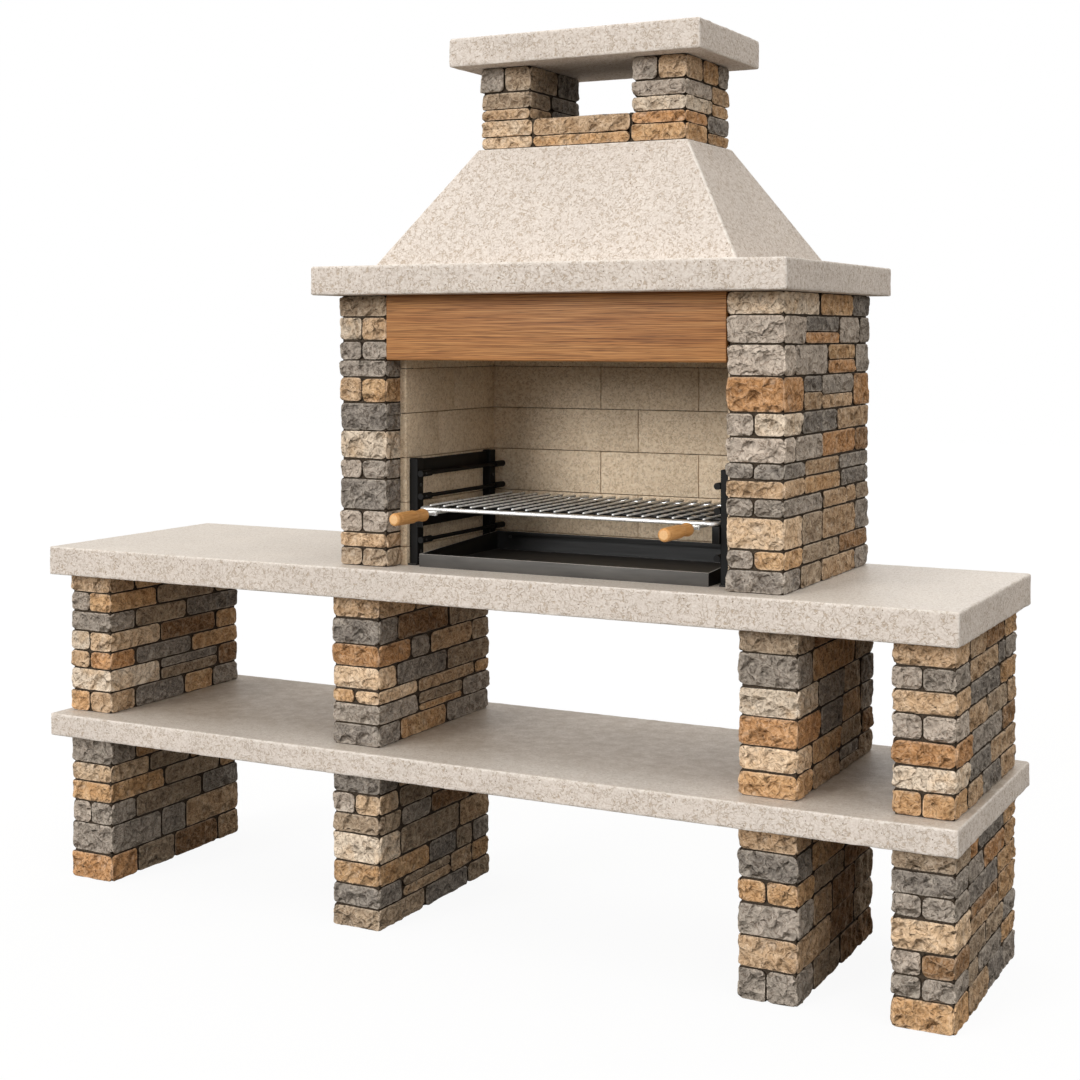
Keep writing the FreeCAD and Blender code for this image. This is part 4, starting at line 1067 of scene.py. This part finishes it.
BLACK_STEEL = black_steel_finish()
PAINTED = ("left_front_post", "left_rear_post", "right_front_post", "right_rear_post",
           "rail_rods", "rail_collars")
for node in PAINTED:
    dress(node, BLACK_STEEL)
print("painted:", len(PAINTED), "nodes")
for node in ("top_plates", "left_runner", "right_runner", "support_feet"):
    print(node, softened_copy(node, BLACK_STEEL, "black_steel", width=0.8 * MILLIMETRE), "faces")

# %% [markdown]
# ## Charcoal tray
# The tray is folded from steel sheet.  Its edges are bent, not cut sharp, so they are bevelled
# and rubbed bright, partly as a painted highlight, and the flat top of the rim is painted bright as
# a highlight.  The inside is painted near black, as soot and painted shade, while the front lip
# shows the brushed grey of the sheet.  What looks up is a lighter grey.

# %% Tray finish
LIP_DEPTH = 2.5 * MILLIMETRE
RIM_RISE = 10 * MILLIMETRE


def tray_finish():
    sheet = Finish("tray_sheet", Metallic=0.15, Specular_IOR_Level=0.25)
    clouds = sheet.noise(sheet.stretched(3.0, 14.0, 14.0), 1.0, detail=4.0, roughness=0.6)
    soot_and_shade = sheet.ramp(clouds, (0.3, paint(9, 9, 8)), (0.7, paint(17, 16, 15)))
    clean_and_lit = sheet.ramp(clouds, (0.3, paint(60, 58, 56)), (0.7, paint(92, 89, 85)))
    spot = sheet.parts(sheet.place)
    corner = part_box("charcoal_tray")[0]
    lip = corner.y + LIP_DEPTH
    # The inside is painted near black, as soot and painted shade; the front lip stays grey
    body = sheet.mix(sheet.range(spot["Y"], lip, lip + MILLIMETRE), clean_and_lit, soot_and_shade)
    # Painted highlight: the flat top of the rim is painted bright, as are the bevelled edges, partly
    # rubbed bare
    raised = sheet.range(spot["Z"], corner.z + RIM_RISE, corner.z + RIM_RISE + MILLIMETRE)
    upward = sheet.facing("Z", 0.8, 0.95)
    body = sheet.mix(upward, body, paint(48, 46, 44))
    bare_edge_and_highlight = sheet.larger(sheet.attribute("edge_wear_and_highlight"), sheet.times(upward, raised))
    sheet.colour(sheet.mix(bare_edge_and_highlight, body, paint(206, 202, 196)))
    brushed = sheet.noise(sheet.stretched(6.0, 400.0, 400.0), 1.0, detail=2.0)
    sheet.rough(sheet.range(brushed, 0.3, 0.7, 0.45, 0.6))
    sheet.bumps((brushed, 0.1 * MILLIMETRE, 0.3))
    return sheet


TRAY_STEEL = tray_finish()
tray_faces = softened_copy("charcoal_tray", TRAY_STEEL, "tray_steel", width=0.9 * MILLIMETRE,
                           body="tray")
print("tray:", tray_faces, "faces")

# %% [markdown]
# ## Grill
# The frame, the wires and the handle loops are chromed steel.  Chrome is bright and nearly
# smooth, and faint noise in its roughness keeps it from looking like glass.  The top of each
# wire is bright, and what looks down is painted dark, as painted shade; the cross rods are
# smoked dark steel.  The finish reads which way the surface looks to tell the two apart.

# %% Metals of the grill
def chrome_finish(name, metal, shade_low, shade_high):
    """Chrome with painted shade where the surface looks down, from the low limit to the high one."""
    chrome = Finish(name, Metallic=metal)
    haze = chrome.noise(chrome.place, 60.0, detail=3.0)
    bright = chrome.ramp(haze, (0.3, paint(220, 220, 218)), (0.7, paint(242, 242, 240)))
    clean_and_lit = chrome.facing("Z", shade_low, shade_high)
    # Painted shade: what looks down is painted near black
    chrome.colour(chrome.mix(clean_and_lit, paint(16, 15, 14), bright))
    chrome.rough(chrome.range(haze, 0.3, 0.7, 0.22, 0.36))
    return chrome


def clouded_finish(name, clouds, dark, pale, dark_rough, pale_rough, **settings):
    """A metal that one noise, of a scale, detail and roughness, clouds between two tones."""
    metal = Finish(name, **settings)
    haze = metal.noise(metal.place, *clouds)
    metal.colour(metal.ramp(haze, (0.3, dark), (0.7, pale)))
    metal.rough(metal.range(haze, 0.3, 0.7, dark_rough, pale_rough))
    return metal


CHROME = chrome_finish("grill_chrome_bright", metal=0.5, shade_low=-1.4, shade_high=-0.5)
WIRE_CHROME = chrome_finish("wire_chrome", metal=0.15, shade_low=-0.3, shade_high=0.15)
SMOKED_STEEL = clouded_finish("smoked_rod", (40.0, 4.0, 0.65), paint(14, 13, 12), paint(34, 32, 30),
                              0.6, 0.4, Metallic=0.3)
for node in ("grill_frame", "handle_loops"):
    dress(node, CHROME)
dress("grill_cross_rods", SMOKED_STEEL)
clip_faces = softened_copy("loop_clips", CHROME, "grill_chrome", width=0.4 * MILLIMETRE,
                           body="grill")
print("clips:", clip_faces, "faces")

# %% [markdown]
# ## Grill wires
# Twenty equal wires lie side by side on the frame.  Copying one mesh twenty times would do,
# but a geometry tree keeps it one rule: a path with a radius at each point becomes a rod with
# rounded ends, and the rod is set on each point of a line.

# %% Geometry tree: a row of rods
def rod_row_tree():
    graph, given, end = new_geometry_tree("rod_row", ["Pitch"], counts=["Count", "Sides"])
    path = graph.node("GeometryNodeMeshToCurve", {"Mesh": given["Geometry"]})
    ring = graph.node("GeometryNodeCurvePrimitiveCircle", {"Resolution": given["Sides"], "Radius": 1.0})
    sockets = {"Curve": path.outputs[0], "Profile Curve": ring.outputs[0],
               "Scale": graph.stored("rod_radius"), "Fill Caps": True}
    rod = graph.node("GeometryNodeCurveToMesh", sockets)
    step = graph.node("ShaderNodeCombineXYZ", {0: given["Pitch"]})
    line = graph.node("GeometryNodeMeshLine", {"Count": given["Count"], "Offset": step.outputs[0]})
    row = graph.node("GeometryNodeInstanceOnPoints",
                     {"Points": line.outputs[0], "Instance": rod.outputs[0]})
    finish_tree(graph, row.outputs[0], given["Material"], end)
    return graph.tree


ROD_ROW = rod_row_tree()
print("rod row tree:", len(ROD_ROW.nodes), "nodes")

# %% Wires
WIRE_SIDES = 12
WIRE_ROUNDING = 2.5 * MILLIMETRE
WIRE_TURNS = (0, 30, 60, 90)
WIRE_SHARPEST = 40


def wire_path(low, high):
    """Path along one wire, with the radius of its rounded ends."""
    radius = (high[0] - low[0]) / 2
    turns = [math.radians(angle) for angle in WIRE_TURNS]
    reach = [WIRE_ROUNDING * (1 - math.sin(turn)) for turn in reversed(turns)]
    radii = [radius - WIRE_ROUNDING * (1 - math.cos(turn)) for turn in reversed(turns)]
    along = [low[1] + place for place in reach] + [high[1] - place for place in reversed(reach)]
    mesh = bpy.data.meshes.new("wire_path")
    points = [((low[0] + high[0]) / 2, y, (low[2] + high[2]) / 2) for y in along]
    mesh.from_pydata(points, [(i, i + 1) for i in range(len(points) - 1)], [])
    set_attribute(mesh, "rod_radius", radii + radii[::-1])
    return mesh


def turned_outwards(mesh):
    """Turn a closed mesh's faces outwards, and shade it smooth between its edges."""
    shape = bmesh.new()
    shape.from_mesh(mesh)
    bmesh.ops.recalc_face_normals(shape, faces=shape.faces)
    shape.to_mesh(mesh)
    shape.free()
    mesh.polygons.foreach_set("use_smooth", [True] * len(mesh.polygons))
    mesh.set_sharp_from_angle(angle=math.radians(WIRE_SHARPEST))
    return mesh


wires = sorted(solid_boxes("grill_wires"), key=lambda box: box[0][0])
pitch = float(wires[1][0][0] - wires[0][0][0])
row = {"Count": len(wires), "Pitch": pitch, "Sides": WIRE_SIDES, "Material": WIRE_CHROME.material}
mesh = turned_outwards(grown(wire_path(*wires[0]), ROD_ROW, row))
add_piece("scrubbed_wires", mesh, "grill", "grill_chrome", "grill_wires")
print("wires:", len(wires), "pitch", round(pitch, 4), "faces", len(mesh.polygons))

# %% [markdown]
# ## Handles
# The grips are turned from pale hardwood.  Its fibres run along the grip, so the noise is drawn
# out along Y, and the cut front ends are paler.

# %% Handle finish
def handle_finish():
    wood = Finish("turned_grip", Specular_IOR_Level=0.4)
    fibres = wood.noise(wood.stretched(330.0, 16.0, 330.0), 1.0, detail=3.0, roughness=0.6)
    body = wood.ramp(fibres, (0.3, paint(190, 131, 71)), (0.5, paint(212, 156, 94)),
                     (0.7, paint(224, 172, 110)))
    end_grain = wood.facing("Y", -0.93, -0.99)
    body = wood.mix(end_grain, body, wood.mix(0.5, body, paint(240, 200, 146)))
    wood.colour(body)
    wood.rough(wood.range(fibres, 0.3, 0.7, 0.55, 0.42))
    wood.bumps((fibres, 0.3 * MILLIMETRE, 0.35))
    return wood


HANDLE_WOOD = handle_finish()
HANDLES = ("left_handle", "right_handle")
for node in HANDLES:
    dress(node, HANDLE_WOOD)
print("handles:", len(HANDLES))

# %% [markdown]
# ## Fixings
# Socket screws hold the posts to the wall, small set screws lock the rail collars, and
# rivets close the tray's back corners.  All are one shape with other sizes: a disc, a chamfer
# and a sunk socket on a shank.  A geometry tree raises that shape from a cylinder by extruding
# its top, and sets a copy on each point, turned the way the point faces.  Their zinc plate has
# a faint bloom, and smoke has turned it dark grey.

# %% Zinc finish
ZINC = clouded_finish("zinc_plate", (180.0, 3.0), paint(48, 47, 45), paint(78, 77, 74), 0.4, 0.55,
                      Metallic=0.6, Specular_IOR_Level=0.3)
dress("beam_dowels", ZINC)
print("zinc:", len(ZINC.tree.nodes), "nodes")

# %% Geometry tree: fixings
FIXING_INPUTS = ("Head Radius", "Head Height", "Socket Radius", "Socket Depth", "Shank Radius",
                 "Shank Length")
HEAD_SIDES = 12
SHANK_SIDES = 8
CHAMFER_RISE = 0.35
CHAMFER_SHRINK = 0.84


def fixing_tree():
    graph, given, end = new_geometry_tree("fixings", FIXING_INPUTS)

    def cylinder(sides, radius, depth, lift):
        """Upright cylinder with its middle at a height; returns its mesh and its top."""
        made = graph.node("GeometryNodeMeshCylinder",
                          {"Vertices": sides, "Radius": radius, "Depth": depth})
        place = graph.node("ShaderNodeCombineXYZ", {2: lift}).outputs[0]
        moved = graph.node("GeometryNodeTransform",
                           {"Geometry": made.outputs["Mesh"], "Translation": place})
        return moved.outputs[0], made.outputs["Top"]

    def raised(mesh, top, rise, size):
        """Extrude the top by a height, and scale the new top."""
        made = graph.node("GeometryNodeExtrudeMesh",
                          {"Mesh": mesh, "Selection": top, "Offset Scale": rise, "Individual": False})
        new_top = made.outputs["Top"]
        scaled = graph.node("GeometryNodeScaleElements",
                            {"Geometry": made.outputs["Mesh"], "Selection": new_top, "Scale": size})
        return scaled.outputs[0], new_top

    height = given["Head Height"]
    base = graph.times(height, 1 - CHAMFER_RISE)
    head = cylinder(HEAD_SIDES, given["Head Radius"], base, graph.times(base, 0.5))
    head = raised(*head, graph.times(height, CHAMFER_RISE), CHAMFER_SHRINK)
    rim = graph.times(given["Head Radius"], CHAMFER_SHRINK)
    head = raised(*head, 0.0, graph.math("DIVIDE", given["Socket Radius"], rim))
    head = raised(*head, graph.times(given["Socket Depth"], -1.0), 1.0)
    shank = cylinder(SHANK_SIDES, given["Shank Radius"], given["Shank Length"],
                     graph.times(given["Shank Length"], -0.5))
    whole = graph.node("GeometryNodeJoinGeometry")
    for part, _ in (head, shank):
        graph.tree.links.new(part, whole.inputs[0])
    facing = graph.stored("facing", "FLOAT_VECTOR")
    turn = graph.node("FunctionNodeAlignRotationToVector", {"Vector": facing}, axis="Z")
    sockets = {"Points": given["Geometry"], "Instance": whole.outputs[0], "Rotation": turn.outputs[0]}
    placed = graph.node("GeometryNodeInstanceOnPoints", sockets)
    finish_tree(graph, placed.outputs[0], given["Material"], end)
    return graph.tree


FIXINGS = fixing_tree()
print("fixings tree:", len(FIXINGS.nodes), "nodes")

# %% Screws and rivets
FIREBOX_MIDDLE = (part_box("timber_beam")[0].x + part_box("timber_beam")[1].x) / 2
FIXING_SIZES = {
    "socket_screws": {
        "node": "post_screws", "body": "masonry", "axis": 0, "head_height": 2.5 * MILLIMETRE,
        "socket_share": 0.45, "socket_depth": 1.5 * MILLIMETRE, "shank_radius": 2.5 * MILLIMETRE},
    "set_screws": {
        "node": "collar_screws", "body": "masonry", "axis": 0, "head_height": 1.5 * MILLIMETRE,
        "socket_share": 0.5, "socket_depth": 1.2 * MILLIMETRE, "shank_radius": 2.4 * MILLIMETRE},
    "corner_rivets": {
        "node": "tray_rivets", "body": "tray", "axis": 1, "head_height": 2 * MILLIMETRE,
        "socket_share": 0.5, "socket_depth": 0.0, "shank_radius": 2.5 * MILLIMETRE},
}


def set_fixings(name, node, body, axis, head_height, socket_share, socket_depth, shank_radius):
    """Put a fixing in the place of each solid of a node, its head towards the firebox or the front."""
    seats, facings = [], []
    for low, high in solid_boxes(node):
        middle = (low + high) / 2
        sign = -1.0 if axis == 1 or middle[0] > FIREBOX_MIDDLE else 1.0
        facing = np.eye(3)[axis] * sign
        tip = high[axis] if sign > 0 else low[axis]
        middle[axis] = tip - sign * head_height
        seats.append(middle)
        facings.append(facing)
    radius = float(high[2] - low[2]) / 2
    points = bpy.data.meshes.new(name + "_points")
    points.from_pydata([tuple(seat) for seat in seats], [], [])
    set_attribute(points, "facing", facings)
    mesh = grown(points, FIXINGS, {
        "Head Radius": radius, "Head Height": head_height, "Socket Radius": radius * socket_share,
        "Socket Depth": socket_depth, "Shank Radius": shank_radius,
        "Shank Length": float(high[axis] - low[axis]) - head_height, "Material": ZINC.material})
    add_piece(name, mesh, body, "bright_fixings", node)
    print(name, len(seats), "pieces,", len(mesh.polygons), "faces")


for name, sizes in FIXING_SIZES.items():
    set_fixings(name, **sizes)

# %% [markdown]
# ## Stage, light and camera
# The background is plain white.  The world and the floor show white to the camera and
# to polished metal, while a lower level lights the object, so that its colours stay true.
# The sky is brightest overhead, as under a large soft box, which leaves the places under the
# slabs in shade.  A broad lamp from the front left gives the shapes their light, a weaker one
# from the right opens the shaded sides, and a weak one behind does the same for the back.

# %% White stage
FLOOR_SIZE = 40.0
HORIZON_LIGHT = 0.4
ZENITH_LIGHT = 1.1
SKY_TINT = (1, 0.975, 0.94, 1)
FLOOR_GLOW = 0.93
FLOOR_BOUNCE = (0.17, 0.155, 0.135, 1)
WHITE = (1, 1, 1, 1)


def seen_directly(graph):
    """1 where the camera or a reflection looks, 0 for the light that reaches the object."""
    path = graph.node("ShaderNodeLightPath").outputs
    seen = graph.larger(path["Is Camera Ray"], path["Is Glossy Ray"])
    return graph.larger(seen, path["Is Transmission Ray"])


def white_sky():
    """Soft light from above and all round, which the camera sees as white."""
    world = bpy.data.worlds.new("studio")
    bpy.context.scene.world = world
    world.use_nodes = True
    sky = Graph(world.node_tree)
    world.node_tree.nodes.clear()
    toward = sky.node("ShaderNodeTexCoord").outputs["Generated"]
    height = sky.parts(toward)["Z"]
    level = sky.range(height, 0.0, 1.0, HORIZON_LIGHT, ZENITH_LIGHT)
    strength = sky.larger(level, seen_directly(sky))
    tint = sky.mix(seen_directly(sky), SKY_TINT, WHITE)
    light = sky.node("ShaderNodeBackground", {"Color": tint, "Strength": strength})
    sky.node("ShaderNodeOutputWorld", {"Surface": light.outputs[0]})


def white_floor():
    """A floor that the camera sees as white, with a faint shadow of the object."""
    mesh = bpy.data.meshes.new("floor")
    reach = FLOOR_SIZE / 2
    mesh.from_pydata([(-reach, -reach, 0), (reach, -reach, 0), (reach, reach, 0), (-reach, reach, 0)],
                     [], [(0, 1, 2, 3)])
    floor = bpy.data.objects.new("floor", mesh)
    bpy.context.scene.collection.objects.link(floor)
    paper = bpy.data.materials.new("floor_paper")
    paper.use_nodes = True
    sheet = Graph(paper.node_tree)
    paper.node_tree.nodes.clear()
    bounce = sheet.node("ShaderNodeBsdfDiffuse", {"Color": FLOOR_BOUNCE})
    pale = sheet.node("ShaderNodeBsdfDiffuse", {"Color": WHITE})
    glow = sheet.node("ShaderNodeEmission", {"Color": WHITE, "Strength": 1.0})
    white = sheet.node("ShaderNodeMixShader", {0: FLOOR_GLOW, 1: pale.outputs[0], 2: glow.outputs[0]})
    blend = sheet.node("ShaderNodeMixShader",
                       {0: seen_directly(sheet), 1: bounce.outputs[0], 2: white.outputs[0]})
    sheet.node("ShaderNodeOutputMaterial", {"Surface": blend.outputs[0]})
    mesh.materials.append(paper)
    floor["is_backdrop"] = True


white_sky()
white_floor()
print("stage: a white floor,", FLOOR_SIZE, "m wide")

# %% Lamps
LAMPS = {
    "key": (1.9, 24.0, (-0.36, -0.89, 0.27)),
    "fill": (0.55, 60.0, (0.8, -0.5, 0.38)),
    "back": (0.6, 50.0, (-0.1, 0.98, 0.05)),
}


def add_lamp(name, strength, angle, toward):
    """A distant lamp: its strength, how broad it looks in degrees, and where it stands."""
    lamp = bpy.data.lights.new(name, "SUN")
    lamp.energy = strength
    lamp.angle = math.radians(angle)
    placed = bpy.data.objects.new(name, lamp)
    placed.rotation_mode = "QUATERNION"
    placed.rotation_quaternion = Vector(toward).to_track_quat("Z", "Y")
    bpy.context.scene.collection.objects.link(placed)


for name, settings in LAMPS.items():
    add_lamp(name, *settings)
print("lamps:", len(LAMPS))

# %% Camera
CAMERA_PLACE = (2.1396, -3.9388, 1.4726)
CAMERA_TURN = 27.565
CAMERA_DIP = 1.383
CAMERA_LENS = 59.04
CAMERA_SHIFT = -0.15
SENSOR_WIDTH = 36.0


def photo_camera():
    data = bpy.data.cameras.new("photo_camera")
    data.sensor_width = SENSOR_WIDTH
    data.lens = CAMERA_LENS
    data.shift_y = CAMERA_SHIFT
    camera = bpy.data.objects.new("photo_camera", data)
    camera.location = CAMERA_PLACE
    camera.rotation_euler = (math.radians(90 - CAMERA_DIP), 0, math.radians(CAMERA_TURN))
    bpy.context.scene.collection.objects.link(camera)
    bpy.context.scene.camera = camera


photo_camera()
print("camera: lens of", CAMERA_LENS, "mm")
bpy.context.scene.view_settings.view_transform = "Standard"

# %% [markdown]
# ## The size of the dressed model
# The dressed model is meant to stay in the box of the solids; its own box is printed.

# %% Finish
low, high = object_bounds()
print("visual box", tuple(low), tuple(high))
